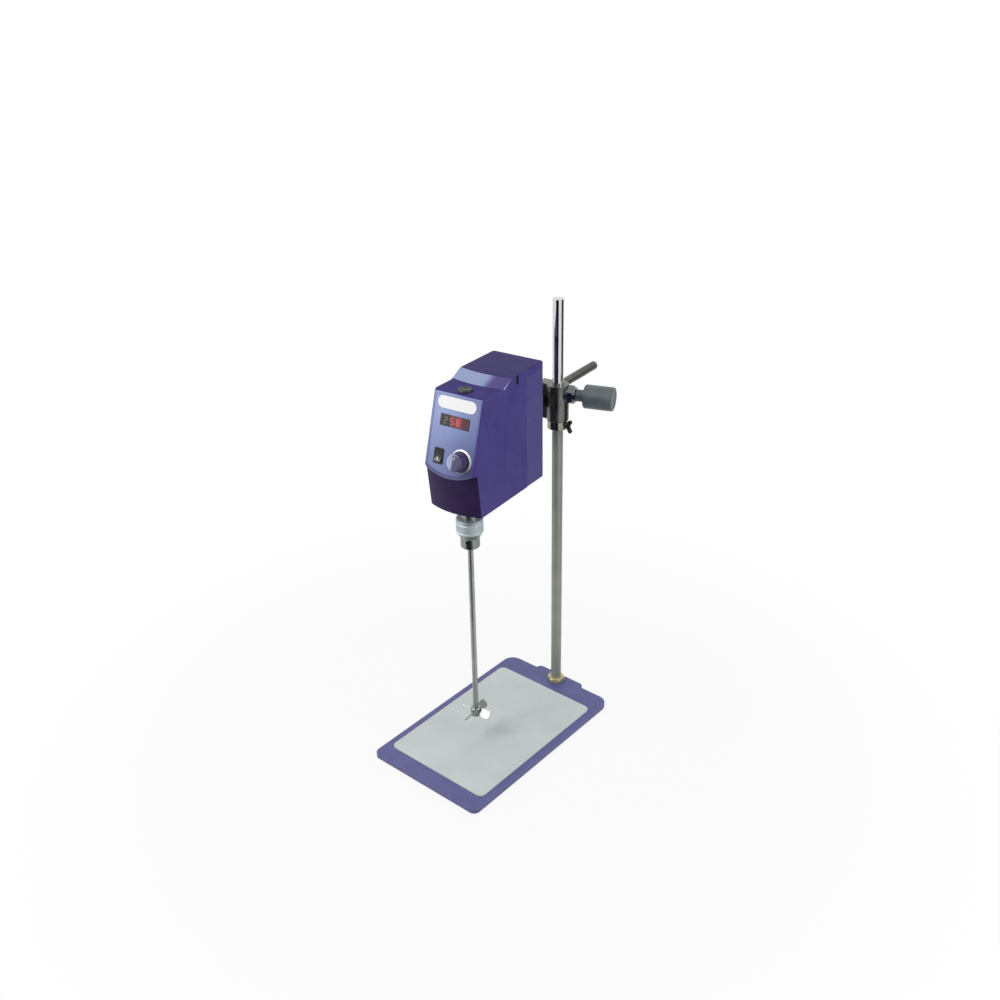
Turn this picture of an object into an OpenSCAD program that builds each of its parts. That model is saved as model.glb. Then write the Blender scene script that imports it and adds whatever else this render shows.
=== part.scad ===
/* [Base] */
// Width of the base plate, left to right
base_w = 200; // [180:1:240]
// Depth of the base plate, front to back
base_d = 320; // [300:1:360]
// Thickness of the base plate
base_t = 7; // [6:0.5:12]
// Width of the bevel round the plate's top edge
base_bevel = 2; // [1:0.5:3]
// Corner radius at the front of the plate
front_corner_r = 10; // [6:1:16]
// Corner radius at the back of the plate
back_corner_r = 18; // [8:1:24]
// Width of the tongue behind the pole
tongue_w = 90; // [60:1:120]
// How far the tongue stands out behind the plate
tongue_out = 8; // [4:1:14]
// Thickness of the anti-slip pad under the plate
pad_t = 2; // [1:0.5:4]
// Margin between the pad's edge and the plate's edge
pad_margin = 8; // [5:1:20]
// Width of the mat on the plate
mat_w = 178; // [140:1:184]
// Margin of bare plate behind the mat
mat_back = 36; // [30:1:60]
// Thickness of the mat
mat_t = 2; // [1:0.5:4]
// Margin of bare plate in front of the mat
mat_front = 26; // [20:1:30]
// Corner radius of the mat
mat_corner_r = 9; // [4:1:20]

/* [Pole] */
// Diameter of the pole
pole_d = 16; // [14:0.5:18]
// Height of the pole's top above the bench
pole_top = 644; // [600:1:800]
// Distance from the plate's back edge forward to the pole's axis
pole_in = 7; // [4:1:30]
// Width across flats of the foot nut
foot_nut_w = 24; // [22:1:30]
// Height of the foot nut
foot_nut_h = 7; // [4:0.5:12]
// Diameter of the screw that holds the pole
pole_screw_d = 8; // [6:0.5:10]
// Distance from the pole's top down to its scribed line
pole_line = 114; // [60:1:118]
// Depth that the screw reaches into the pole
pole_screw_reach = 28; // [15:1:60]
// Diameter of that screw's head
pole_screw_head_d = 13; // [12:0.5:16]
// Height of that screw's head
pole_screw_head_h = 4; // [3:0.5:4.5]

/* [Stop ring] */
// Height of the stop ring's lower face above the bench
ring_z = 453; // [380:1:460]
// Height of the stop ring itself
ring_h = 14; // [10:1:20]
// Outer diameter of the stop ring
ring_d = 30; // [26:1:36]
// Diameter of the stop ring's screw
ring_screw_d = 5; // [4:0.5:6]
// Length of the ring screw outside the ring
ring_screw_out = 5; // [3:0.5:10]
// Span of the wings on the ring screw
wing_span = 20; // [14:1:26]
// Thickness of the wings
wing_t = 3; // [2:0.5:4]
// How far the ring screw is turned from the arm's right-hand side
ring_screw_turn = -8; // [-20:1:20]

/* [Clamp] */
// Turn of clamp, arm and head about the pole
head_turn = 6; // [0:1:20]
// Distance between the pole's axis and the arm's axis
arm_offset = 28; // [27:0.5:34]
// Height of the clamp body
clamp_h = 53; // [48:1:70]
// Wall of the clamp body round the pole
clamp_wall = 8; // [6:0.5:10]
// Thickness of the web between the two bores
clamp_web = 18; // [12:1:22]
// Length of the arm's bore in the clamp
arm_bore_len = 44; // [36:1:56]
// Wall of the clamp body round the arm's bush
arm_wall = 6.5; // [4:0.5:8]
// Wall of the split bush round the arm
bush_wall = 2; // [1.5:0.5:3]
// Width of the slit in the bush
bush_slit = 1.2; // [0.8:0.2:2]
// Thickness of the bush's two flanges
bush_flange = 2; // [1:0.5:3]
// Height of the knob's axis above the arm's axis
knob_rise = 11; // [0:1:12]
// How far the knob's axis is turned from square to the arm
knob_turn = 14; // [0:1:20]
// Diameter of the boss that carries the collar
knob_boss_d = 24; // [20:1:28]
// Distance from the pole's axis to the boss's face
knob_boss_out = 17; // [16.5:0.5:20]
// Width across flats of the clamp's collar
collar_w = 25; // [20:1:30]
// Length of the collar
collar_len = 10; // [6:0.5:14]
// Diameter of the clamping stud
stud_d = 8; // [6:0.5:10]
// Diameter of the neck between collar and handle
neck_d = 17; // [14:1:20]
// Length of that neck
neck_len = 13; // [8:1:20]
// Diameter of the handle
handle_d = 34; // [28:1:40]
// Length of the handle
handle_len = 42; // [30:1:60]
// Bevel at both ends of the handle
handle_bevel = 1.5; // [0.5:0.5:3]
// Diameter of the screw that locks the arm
arm_screw_d = 6; // [5:0.5:8]
// Diameter of that screw's round head
arm_screw_head_d = 18; // [14:1:24]
// Length of that screw's round head
arm_screw_head_len = 10; // [6:1:16]

/* [Arm] */
// Diameter of the support arm
arm_d = 13; // [10:0.5:16]
// Length of the support arm
arm_len = 210; // [160:1:260]
// Distance from the arm's free end to its scribed line
arm_line = 120; // [60:1:124]
// Height of the arm above the housing's underside
arm_w = 92; // [76:1:110]
// Gap between the housing's back and the pole's axis
rear_gap = 58; // [50:1:80]
// Width of the flange behind the housing
flange_w = 52; // [44:1:60]
// Height of that flange
flange_h = 44; // [36:1:56]
// Thickness of that flange
flange_t = 8; // [5:0.5:12]
// Diameter of the boss on that flange
flange_boss_d = 22; // [18:1:26]
// Length of the boss on that flange
flange_boss_len = 10; // [4:1:16]
// Spacing of the flange's screws, side to side
flange_screw_x = 38; // [30:1:44]
// Spacing of the flange's screws, up and down
flange_screw_z = 30; // [24:1:36]
// Diameter of the flange's screws
flange_screw_d = 5; // [4:0.5:6]

/* [Housing] */
// Height of the housing's underside above the bench
head_z = 403; // [380:1:420]
// Width of the housing
head_w = 83; // [78:1:100]
// Depth of the housing
head_d = 166; // [160:1:200]
// Height of the housing's front deck
deck_h = 162; // [156:1:190]
// Drop from the deck to the panel's top edge
panel_drop = 3; // [2:1:6]
// Height of the lip below the panel
lip_h = 66; // [60:1:76]
// How far the panel's top leans back from the lip
panel_lean = 28; // [20:1:30]
// How far the chin's foot lies behind the lip
chin_back = 11; // [8:1:18]
// How far the chin's top lies behind the lip
bezel_t = 4; // [2:0.5:5]
// How far the lip hangs down in the middle
lip_drop = 12; // [4:1:14]
// Wall of the housing shells
wall = 2.5; // [2:0.25:3]
// Radius of the housing's front edges
front_edge_r = 9; // [4:1:12]
// Radius of the housing's back edges
back_edge_r = 5; // [3:1:10]
// Depth of the rear cover, from the joint line back
rear_depth = 44; // [30:1:50]
// Depth of the lap where the rear cover enters the front shell
lap_d = 4; // [2:0.5:6]
// Thickness of that lap
lap_t = 1.2; // [1:0.1:1.4]
// Height of the raised top cover above the deck
cap_h = 10; // [6:1:16]
// Where the top cover's front foot starts, from the lip
cap_front = 70; // [64:1:90]
// How far the top cover's front leans back
cap_lean = 19; // [10:1:24]
// How far the top cover's front bows forward
cap_bow = 5; // [2:0.5:8]
// Distance from the lip to the recess in the right side
side_slot_v = 98; // [90:1:110]
// Depth of the recess in the right side
side_slot_d = 1.2; // [0.5:0.1:1.5]

/* [Panel] */
// Width of the front panel
panel_w = 70; // [66:1:74]
// Thickness of the front panel
panel_t = 1.5; // [1:0.25:2.5]
// Margin between the panel and the ends of the slope
panel_end = 2; // [1:0.5:4]
// Width of the blank label plate
label_w = 60; // [40:1:62]
// Height of the blank label plate
label_h = 16; // [12:1:18]
// Distance from the panel's top down to the label's middle
label_down = 11; // [9:0.5:14]
// Width of the display window
window_w = 46; // [36:1:50]
// Height of the display window
window_h = 15; // [10:1:18]
// Distance from the panel's top down to the display's middle
window_down = 34; // [30:1:38]
// Depth of the display module behind the window
display_depth = 7; // [5:0.5:10]
// Width of the rocker switch
switch_w = 15; // [12:1:16]
// Height of the rocker switch
switch_h = 21; // [18:1:22]
// Depth of the switch body behind the panel
switch_depth = 12; // [10:1:13]
// Place of the switch, left of the middle
switch_left = 18; // [16:1:24]
// Place of the switch up the panel
switch_up = 15; // [13.5:0.5:20]
// Swing of the rocker each way from level
rocker_tilt = 7; // [4:1:9]
// Place of the speed knob, right of the middle
dial_right = 18; // [16:0.5:18.5]
// Place of the speed knob up the panel
dial_up = 14.5; // [13.5:0.5:20]
// Diameter of the speed knob's skirt
skirt_d = 33; // [28:1:34]
// Diameter of the speed knob's cap
dial_d = 25; // [20:1:28]
// Height of the speed knob's cap
dial_h = 15; // [10:1:20]
// Diameter of the speed knob's shaft
dial_shaft_d = 6; // [4:0.5:8]
// Diameter of the potentiometer
pot_d = 16; // [12:1:20]
// Depth of the potentiometer
pot_depth = 9; // [6:1:12]

/* [Drive] */
// Distance from the lip back to the spindle
spindle_v = 41; // [40:0.5:46]
// Diameter of the hollow spindle
spindle_d = 15; // [13:0.5:16]
// Gap between the deck and the spindle's top
spindle_gap = 12; // [8:1:30]
// Outer diameter of the spindle bearings
bearing_d = 28; // [26:1:32]
// Width of the spindle bearings
bearing_t = 7; // [5:0.5:9]
// Thickness of the frame's floor
floor_t = 6; // [5:0.5:8]
// Thickness of the frame's motor shelf
shelf_t = 6; // [5:0.5:8]
// Height of the motor shelf's underside
shelf_w = 58; // [56:1:70]
// Gap between the frame and the housing's side walls
frame_side_gap = 5; // [4:0.5:8]
// Gap between the deck and the frame's rear plate
frame_gap = 36; // [20:1:40]
// Thickness of the frame's rear plate
frame_t = 6; // [5:0.5:8]
// Module of the gear teeth
gear_m = 1; // [0.95:0.01:1.02]
// Teeth of the spindle gear
gear_teeth = 54; // [52:1:54]
// Teeth of the motor pinion
pinion_teeth = 18; // [17:1:18]
// Thickness of the spindle gear
gear_t = 8; // [6:0.5:10]
// Play between meshing teeth
backlash = 0.3; // [0.2:0.05:0.4]
// Height of the spindle gear's underside
gear_w = 40; // [38:1:42]
// Diameter of the motor case
motor_d = 50; // [44:1:50]
// Gap between the deck and the motor case
motor_gap = 28; // [10:1:34]
// Wall of the motor case
motor_wall = 5; // [4:0.5:6]
// Diameter of the motor shaft
motor_shaft_d = 6; // [5:0.5:8]
// Diameter of the rotor
rotor_d = 34; // [28:1:36]

/* [Chuck and tool] */
// Height of the spindle nose below the housing
nose_h = 22; // [14:1:30]
// Diameter of the spindle nose
nose_d = 24; // [20:1:26]
// Diameter of the chuck
chuck_d = 38; // [34:1:44]
// Thickness of the chuck body's flange
chuck_flange_t = 5; // [3:0.5:8]
// Length of the sleeve's wide part
sleeve_wide_len = 16; // [10:1:24]
// Length of the sleeve's taper
sleeve_taper_len = 8; // [4:1:14]
// Length of the sleeve's narrow part
sleeve_end_len = 16; // [12:1:22]
// Diameter of the sleeve's narrow part
sleeve_end_d = 27; // [25:1:30]
// Diameter of the chuck's core
core_d = 20; // [18:1:21]
// Diameter of the key holes in the sleeve
key_hole_d = 5; // [3:0.5:6]
// Width of a chuck jaw
jaw_w = 4.4; // [3.6:0.2:5]
// Length of a chuck jaw
jaw_len = 20; // [12:1:26]
// Travel of the jaws when the chuck opens
jaw_travel = 1.5; // [1:0.25:2]
// Diameter of the stirring rod
rod_d = 8; // [6:0.5:8]
// Length of the stirring rod
rod_len = 350; // [320:1:400]
// Height of the stirring rod's lower end above the bench
rod_z = 44; // [30:1:60]
// Diameter swept by the impeller
impeller_d = 50; // [40:1:70]
// Height of the impeller's hub
hub_h = 14; // [10:1:20]
// Diameter of the impeller's hub
hub_d = 15; // [12:1:20]
// Thickness of the impeller's blades
blade_t = 1.5; // [1:0.25:2.5]
// Width of the impeller's blades
blade_w = 13; // [8:1:14]
// Pitch of the blades from level
blade_pitch = 45; // [30:1:60]
// Number of blades
blades = 4; // [3:1:6]
// Diameter of the plug in the deck's hole
plug_d = 14; // [12:0.5:16]
// Height of the plug's head above the deck
plug_h = 3; // [2:0.5:5]

/* [Electrics] */
// Width of the mains inlet's face
inlet_w = 31; // [29:1:36]
// Height of the mains inlet's face
inlet_h = 24; // [22:1:28]
// Depth of the mains inlet's body
inlet_depth = 24; // [20:1:26]
// Height of the mains inlet's centre
inlet_up = 32; // [26:1:36]
// Width of the circuit board
board_w = 62; // [50:1:66]
// Gap between the deck and the circuit board
board_top_gap = 9; // [6:1:20]
// Thickness of the circuit board
board_t = 1.6; // [1:0.1:2]
// Distance between motor case and circuit board
board_gap = 5; // [4:1:8]

/* [Hidden] */
$fn = 64;

// Radial clearance of turning and sliding fits, and of screws in their holes
fit = 0.05;
screw_gap = 0.3;
line_w = 0.6;
line_depth = 0.2;
eps = 0.01;
hull_sides = 32;

plate_z = pad_t;
plate_top = plate_z + base_t;
mat_d = base_d - mat_front - mat_back;
mat_y = -base_d / 2 + mat_front + mat_d / 2;
pole_y = base_d / 2 - pole_in;
clamp_gap = 0.2;
clamp_z = ring_z + ring_h + clamp_gap;
pole_r = pole_d / 2;
arm_r = arm_d / 2;
arm_z = head_z + arm_w;
bush_r = arm_r + fit + bush_wall;
arm_boss_r = bush_r + fit + arm_wall;
clamp_r = pole_r + fit + clamp_wall;
bush_flange_r = bush_r + 2.5;
knob_z = arm_z + knob_rise;
handle_start = knob_boss_out + collar_len + neck_len;
pole_to_front = head_d + rear_gap;
panel_top = deck_h - panel_drop;
split_v = head_d - rear_depth;
panel_tilt = atan2(panel_lean, panel_top - lip_h);
panel_len = norm([panel_lean, panel_top - lip_h]);
lip_arc_r = (pow(head_w / 2, 2) + lip_drop * lip_drop) / (2 * lip_drop);
lip_arc_y = lip_arc_r - lip_drop;
label_up = panel_len - label_down;
window_up = panel_len - window_down;
frame_v0 = 24;
frame_back = head_d - wall;
frame_w = head_w - 2 * wall - 2 * frame_side_gap;
centre_distance = gear_m * (gear_teeth + pinion_teeth) / 2;
motor_v = spindle_v + centre_distance;
motor_z = shelf_w + shelf_t;
floor_top = wall + floor_t;
bearing_step = 2;
lower_bearing_w = floor_top + bearing_step;
upper_bearing_w = motor_z - bearing_t;
board_v = motor_v + motor_d / 2 + board_gap;
spindle_top = deck_h - spindle_gap;
frame_h = deck_h - frame_gap;
motor_h = deck_h - motor_gap - motor_z;
board_h = deck_h - board_top_gap - motor_z - 1;
rotor_h = motor_h * 0.66;
rotor_z = motor_z + (motor_h - rotor_h) / 2;
board_room = frame_back - frame_t - board_v - board_t;
spindle_r = spindle_d / 2;
rod_bore_r = rod_d / 2 + fit;
core_r = core_d / 2;
sleeve_top = -nose_h - chuck_flange_t - screw_gap;
chuck_end = sleeve_top - sleeve_wide_len - sleeve_taper_len - sleeve_end_len;
jaw_r = sqrt(pow(core_r - fit, 2) - pow(jaw_w / 2, 2)) - jaw_travel;
cap_r = (pow(head_w / 2, 2) + cap_bow * cap_bow) / (2 * cap_bow);
hub_z = rod_z + 2;

// Places things in the head's own frame: x right, y back from the lip, z up from its underside
module in_head() {
  translate([0, pole_y, head_z])
    rotate([0, 0, head_turn])
      translate([-arm_offset, -pole_to_front, 0])
        children();
}

// Places things in the clamp's frame: origin on the pole's axis, at bench level
module in_clamp() {
  translate([0, pole_y, 0])
    rotate([0, 0, head_turn])
      children();
}

// Places things on the panel's slope: x right, y up the slope, z outwards
module on_panel() {
  in_head()
    translate([0, 0, lip_h])
      rotate([90 - panel_tilt, 0, 0])
        children();
}

// Lays a part along the clamp handle's axis, with local z pointing outwards
module along_handle() {
  in_clamp()
    translate([0, 0, knob_z])
      rotate([0, 0, knob_turn])
        rotate([0, 90, 0])
          children();
}

module plate_corners(z, inset, h) {
  for (side = [-1, 1]) {
    translate([side * (base_w / 2 - front_corner_r), -base_d / 2 + front_corner_r, z])
      cylinder(r = front_corner_r - inset, h = h, $fn = hull_sides);
    translate([side * (base_w / 2 - back_corner_r), base_d / 2 - back_corner_r, z])
      cylinder(r = back_corner_r - inset, h = h, $fn = hull_sides);
  }
}

module tongue_corners(z, inset, h) {
  for (side = [-1, 1])
    for (y = [base_d / 2 - back_corner_r, base_d / 2])
      translate([side * (tongue_w / 2 - tongue_out), y, z])
        cylinder(r = tongue_out - inset, h = h, $fn = hull_sides);
}

module base_plate() {
  color([0.33, 0.33, 0.55])
    difference() {
      union() {
        hull() {
          plate_corners(plate_z, 0, base_t - base_bevel);
          plate_corners(plate_z, base_bevel, base_t);
        }
        hull() {
          tongue_corners(plate_z, 0, base_t - base_bevel);
          tongue_corners(plate_z, base_bevel, base_t);
        }
      }
      translate([0, pole_y, plate_z - eps])
        cylinder(d = pole_screw_d + 2 * screw_gap, h = base_t + 2 * eps);
      translate([0, pole_y, plate_z - eps])
        cylinder(d = pole_screw_head_d + 2 * screw_gap, h = pole_screw_head_h + eps);
    }
}

module rounded_slab(w, d, h, r) {
  union() {
    translate([-w / 2 + r, -d / 2, 0])
      cube([w - 2 * r, d, h]);
    translate([-w / 2, -d / 2 + r, 0])
      cube([w, d - 2 * r, h]);
    for (x = [-1, 1])
      for (y = [-1, 1])
        translate([x * (w / 2 - r), y * (d / 2 - r), 0])
          cylinder(r = r, h = h);
  }
}

module base_mat() {
  color([0.75, 0.77, 0.74])
    translate([0, mat_y, plate_top])
      rounded_slab(mat_w, mat_d, mat_t, mat_corner_r);
}

module base_pad() {
  color([0.1, 0.1, 0.1])
    difference() {
      rounded_slab(base_w - 2 * pad_margin, base_d - 2 * pad_margin, pad_t, back_corner_r - pad_margin);
      translate([0, pole_y, -eps])
        cylinder(d = pole_screw_head_d + 2 * screw_gap, h = pad_t + 2 * eps);
    }
}

module pole() {
  color([0.8, 0.8, 0.8])
    difference() {
      translate([0, pole_y, plate_top])
        cylinder(r = pole_r, h = pole_top - plate_top);
      translate([0, pole_y, plate_top - eps])
        cylinder(r = pole_screw_d / 2 + fit, h = pole_screw_reach + 1);
      translate([0, pole_y, pole_top - pole_line])
        line_ring(pole_r);
    }
}

// Cuts a fine scribed line round a rod
module line_ring(r) {
  difference() {
    cylinder(r = r + 1, h = line_w);
    translate([0, 0, -1])
      cylinder(r = r - line_depth, h = line_w + 2);
  }
}

module pole_foot_nut() {
  color([0.7, 0.6, 0.35])
    translate([0, pole_y, plate_top])
      difference() {
        cylinder(d = foot_nut_w / cos(30), h = foot_nut_h, $fn = 6);
        translate([0, 0, -eps])
          cylinder(r = pole_r + fit, h = foot_nut_h + 2 * eps);
      }
}

module pole_screw() {
  color([0.4, 0.4, 0.4])
    translate([0, pole_y, plate_z])
      difference() {
        union() {
          cylinder(d = pole_screw_head_d, h = pole_screw_head_h);
          cylinder(d = pole_screw_d, h = base_t + pole_screw_reach);
        }
        translate([0, 0, -eps])
          cylinder(d = pole_screw_d * 0.75, h = pole_screw_head_h * 0.6, $fn = 6);
      }
}

module stop_ring() {
  color([0.5, 0.5, 0.5])
    difference() {
      translate([0, pole_y, ring_z])
        cylinder(d = ring_d, h = ring_h);
      translate([0, pole_y, ring_z - eps])
        cylinder(r = pole_r + fit, h = ring_h + 2 * eps);
      ring_screw_line()
        cylinder(d = ring_screw_d + 2 * fit, h = ring_d);
    }
}

module ring_screw_line() {
  in_clamp()
    translate([0, 0, ring_z + ring_h / 2])
      rotate([0, 0, ring_screw_turn])
        rotate([0, 90, 0])
          children();
}

module ring_screw() {
  wing_z = ring_d / 2 + ring_screw_out;
  color([0.15, 0.15, 0.15])
    ring_screw_line() {
      translate([0, 0, pole_r + fit])
        cylinder(d = ring_screw_d, h = wing_z - pole_r);
      translate([0, 0, wing_z - 3])
        cylinder(d1 = ring_screw_d + 2, d2 = ring_screw_d + 4, h = 4);
      for (side = [-1, 1])
        hull() {
          translate([side * 2, wing_t / 2, wing_z])
            rotate([90, 0, 0])
              cylinder(r = 3, h = wing_t, $fn = hull_sides);
          translate([side * (wing_span / 2 - 3), wing_t / 2, wing_z + 3])
            rotate([90, 0, 0])
              cylinder(r = 3, h = wing_t, $fn = hull_sides);
        }
    }
}

module clamp_body() {
  color([0.16, 0.15, 0.14])
    difference() {
      union() {
        in_clamp() {
          translate([0, 0, clamp_z])
            cylinder(r = clamp_r, h = clamp_h);
          translate([-arm_offset, arm_bore_len / 2, arm_z])
            rotate([90, 0, 0])
              cylinder(r = arm_boss_r, h = arm_bore_len);
          translate([-arm_offset, -clamp_web / 2, clamp_z])
            cube([arm_offset, clamp_web, clamp_h]);
        }
        along_handle()
          cylinder(d = knob_boss_d, h = knob_boss_out);
      }
      in_clamp() {
        translate([0, 0, clamp_z - eps])
          cylinder(r = pole_r + fit, h = clamp_h + 2 * eps);
        translate([-arm_offset, arm_bore_len / 2 + eps, arm_z])
          rotate([90, 0, 0])
            cylinder(r = bush_r + fit, h = arm_bore_len + 2 * eps);
        translate([-arm_offset, 0, arm_z])
          rotate([0, -90, 0])
            cylinder(d = arm_screw_d + 2 * fit, h = 2 * arm_boss_r);
      }
      along_handle()
        cylinder(d = stud_d + 2 * fit, h = 2 * knob_boss_out);
    }
}

module clamp_collar() {
  color([0.35, 0.38, 0.4])
    along_handle()
      translate([0, 0, knob_boss_out])
        difference() {
          union() {
            cylinder(d = collar_w / cos(30), h = collar_len * 0.7, $fn = 6);
            cylinder(d = collar_w * 0.9, h = collar_len);
          }
          translate([0, 0, -eps])
            cylinder(d = stud_d + 2 * fit, h = collar_len + 2 * eps);
        }
}

module clamp_handle() {
  color([0.3, 0.34, 0.35])
    along_handle()
      difference() {
        union() {
          translate([0, 0, handle_start - neck_len + screw_gap])
            cylinder(d = neck_d, h = neck_len);
          translate([0, 0, handle_start])
            cylinder(d1 = handle_d - 2 * handle_bevel, d2 = handle_d, h = handle_bevel);
          translate([0, 0, handle_start + handle_bevel])
            cylinder(d = handle_d, h = handle_len - 2 * handle_bevel);
          translate([0, 0, handle_start + handle_len - handle_bevel])
            cylinder(d1 = handle_d, d2 = handle_d - 2 * handle_bevel, h = handle_bevel);
        }
        cylinder(d = stud_d + 2 * fit, h = handle_start + handle_len / 2 + 1);
      }
}

module clamp_stud() {
  color([0.7, 0.7, 0.7])
    along_handle()
      translate([0, 0, pole_r + fit])
        cylinder(d = stud_d, h = handle_start + handle_len / 2 - pole_r);
}

module arm_bush() {
  bush_len = arm_bore_len + 2 * bush_flange + 2 * clamp_gap;
  color([0.65, 0.6, 0.4])
    in_clamp()
      translate([-arm_offset, bush_len / 2, arm_z])
        rotate([90, 0, 0])
          difference() {
            union() {
              cylinder(r = bush_r, h = bush_len);
              cylinder(r = bush_flange_r, h = bush_flange);
              translate([0, 0, bush_len - bush_flange])
                cylinder(r = bush_flange_r, h = bush_flange);
            }
            translate([0, 0, -eps])
              cylinder(r = arm_r + fit, h = bush_len + 2 * eps);
            translate([-bush_slit / 2, 0, -eps])
              cube([bush_slit, bush_flange_r + 1, bush_len + 2 * eps]);
          }
}

module arm_screw() {
  tip = bush_r + fit;
  head = arm_boss_r + 4;
  color([0.15, 0.15, 0.15])
    in_clamp()
      translate([-arm_offset, 0, arm_z])
        rotate([0, -90, 0]) {
          translate([0, 0, tip])
            cylinder(d = arm_screw_d, h = head - tip + 1);
          translate([0, 0, head])
            cylinder(d = arm_screw_head_d, h = arm_screw_head_len);
        }
}

module support_arm() {
  bevel = 1;
  arm_out = arm_len - flange_t / 2;
  color([0.45, 0.44, 0.42])
    in_head()
      translate([0, head_d + flange_t / 2, arm_w])
        rotate([-90, 0, 0])
          difference() {
            union() {
              cylinder(r = arm_r, h = arm_out - bevel);
              translate([0, 0, arm_out - bevel])
                cylinder(r1 = arm_r, r2 = arm_r - bevel, h = bevel);
            }
            translate([0, 0, arm_out - arm_line])
              line_ring(arm_r);
          }
}

module flange_screw_places() {
  for (x = [-1, 1])
    for (z = [-1, 1])
      translate([x * flange_screw_x / 2, 0, arm_w + z * flange_screw_z / 2])
        rotate([-90, 0, 0])
          children();
}

module arm_flange() {
  color([0.3, 0.3, 0.32])
    in_head()
      difference() {
        union() {
          translate([0, head_d, arm_w])
            rotate([-90, 0, 0])
              rounded_slab(flange_w, flange_h, flange_t, 5);
          translate([0, head_d, arm_w])
            rotate([-90, 0, 0])
              cylinder(d = flange_boss_d, h = flange_t + flange_boss_len);
        }
        translate([0, head_d + flange_t / 2 - fit, arm_w])
          rotate([-90, 0, 0])
            cylinder(r = arm_r + fit, h = flange_t + flange_boss_len);
        flange_screw_places()
          translate([0, 0, head_d - 1])
            cylinder(d = flange_screw_d + 2 * screw_gap, h = flange_t + 2);
      }
}

module arm_flange_screws() {
  color([0.6, 0.6, 0.6])
    in_head()
      flange_screw_places() {
        translate([0, 0, frame_back - frame_t + 1])
          cylinder(d = flange_screw_d, h = frame_t - 1 + wall + flange_t + 1);
        translate([0, 0, head_d + flange_t])
          difference() {
            cylinder(d = flange_screw_d * 1.7, h = 4);
            translate([0, 0, 1.5])
              cylinder(d = flange_screw_d * 0.8, h = 4, $fn = 6);
          }
      }
}

// Side outline of the housing behind its bezel, moved inwards by an inset on every side
chin_lean = atan2(chin_back - bezel_t, lip_h);
function chin_v(w, inset) = bezel_t + (chin_back - bezel_t) * (1 - w / lip_h) + inset / cos(chin_lean);
function slope_v(inset) = panel_lean + inset / cos(panel_tilt);
function side_outline(inset) = [
  [chin_v(inset, inset), inset],
  [chin_v(lip_h, inset), lip_h],
  [slope_v(inset), panel_top - inset],
  [slope_v(inset) + deck_h - panel_top, deck_h - inset],
  [head_d - inset, deck_h - inset],
  [head_d - inset, inset]
];

// The sloping bezel, whose lower edge hangs down in an arc in front of the chin
module bezel_slab() {
  translate([0, 0, lip_h])
    rotate([90 - panel_tilt, 0, 0])
      intersection() {
        translate([-head_w / 2, -lip_drop, -bezel_t - 1])
          cube([head_w, panel_len + lip_drop, bezel_t + 1]);
        translate([0, lip_arc_y, -bezel_t - 2])
          cylinder(r = lip_arc_r, h = bezel_t + 3, $fn = 128);
      }
}

// A rod-shaped corner that rounds one upright edge of the housing, leaning back by an angle
module edge_cutter(r, lean, h) {
  rotate([-lean, 0, 0])
    translate([0, 0, -h / 2])
      difference() {
        translate([-1, -1, 0])
          cube([r + 1, r + 1, h]);
        translate([r, r, -1])
          cylinder(r = r, h = h + 2);
      }
}

module housing_body(inset) {
  w = head_w - 2 * inset;
  r = front_edge_r - inset;
  difference() {
    rotate([90, 0, 90])
      translate([0, 0, -w / 2])
        linear_extrude(height = w)
          polygon(side_outline(inset));
    for (side = [0, 1])
      mirror([side, 0, 0])
        translate([-w / 2, 0, 0]) {
          intersection() {
            translate([0, bezel_t + inset, lip_h])
              edge_cutter(r, -chin_lean, 3 * deck_h);
            translate([-2, -head_d, -deck_h])
              cube([head_w / 2, 2 * head_d, deck_h + lip_h + eps]);
          }
          translate([0, head_d - inset, 0])
            mirror([0, 1, 0])
              edge_cutter(back_edge_r - inset, 0, 3 * deck_h);
        }
  }
}

module housing_solid(inset) {
  w = head_w - 2 * inset;
  difference() {
    union() {
      housing_body(inset);
      if (inset == 0)
        bezel_slab();
    }
    for (side = [0, 1])
      mirror([side, 0, 0])
        translate([-w / 2, 0, 0])
          intersection() {
            translate([0, inset, lip_h])
              edge_cutter(front_edge_r - inset, panel_tilt, 3 * deck_h);
            translate([-2, -head_d, lip_h - lip_drop - 4])
              cube([head_w / 2, 2 * head_d, deck_h]);
          }
  }
}

module front_half(v) {
  translate([-head_w, -head_d, -1])
    cube([2 * head_w, head_d + v, deck_h + 2]);
}

module panel_opening() {
  translate([0, 0, lip_h])
    rotate([90 - panel_tilt, 0, 0])
      translate([-panel_w / 2 + 4, panel_end + 2, -3 * wall])
        cube([panel_w - 8, panel_len - 2 * panel_end - 6, 6 * wall]);
}

module bottom_screw_places() {
  for (x = [-1, 1])
    for (y = [frame_v0 + 8, split_v - 10])
      translate([x * (frame_w / 2 - 8), y, 0])
        children();
}

module front_shell() {
  color([0.29, 0.25, 0.49])
    in_head()
      difference() {
        intersection() {
          housing_solid(0);
          front_half(split_v);
        }
        housing_solid(wall);
        panel_opening();
        translate([0, spindle_v, -1])
          cylinder(d = bearing_d + 2, h = wall + 2);
        translate([0, spindle_v, deck_h - wall - 1])
          cylinder(d = plug_d + 2 * screw_gap, h = wall + 2);
        bottom_screw_places()
          translate([0, 0, -1])
            cylinder(d = 3 + 2 * screw_gap, h = wall + 2);
        side_slot();
      }
}

module side_slot() {
  translate([head_w / 2 - side_slot_d, side_slot_v, deck_h - 3])
    cube([side_slot_d + 1, 5, cap_h + 1]);
}

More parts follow.
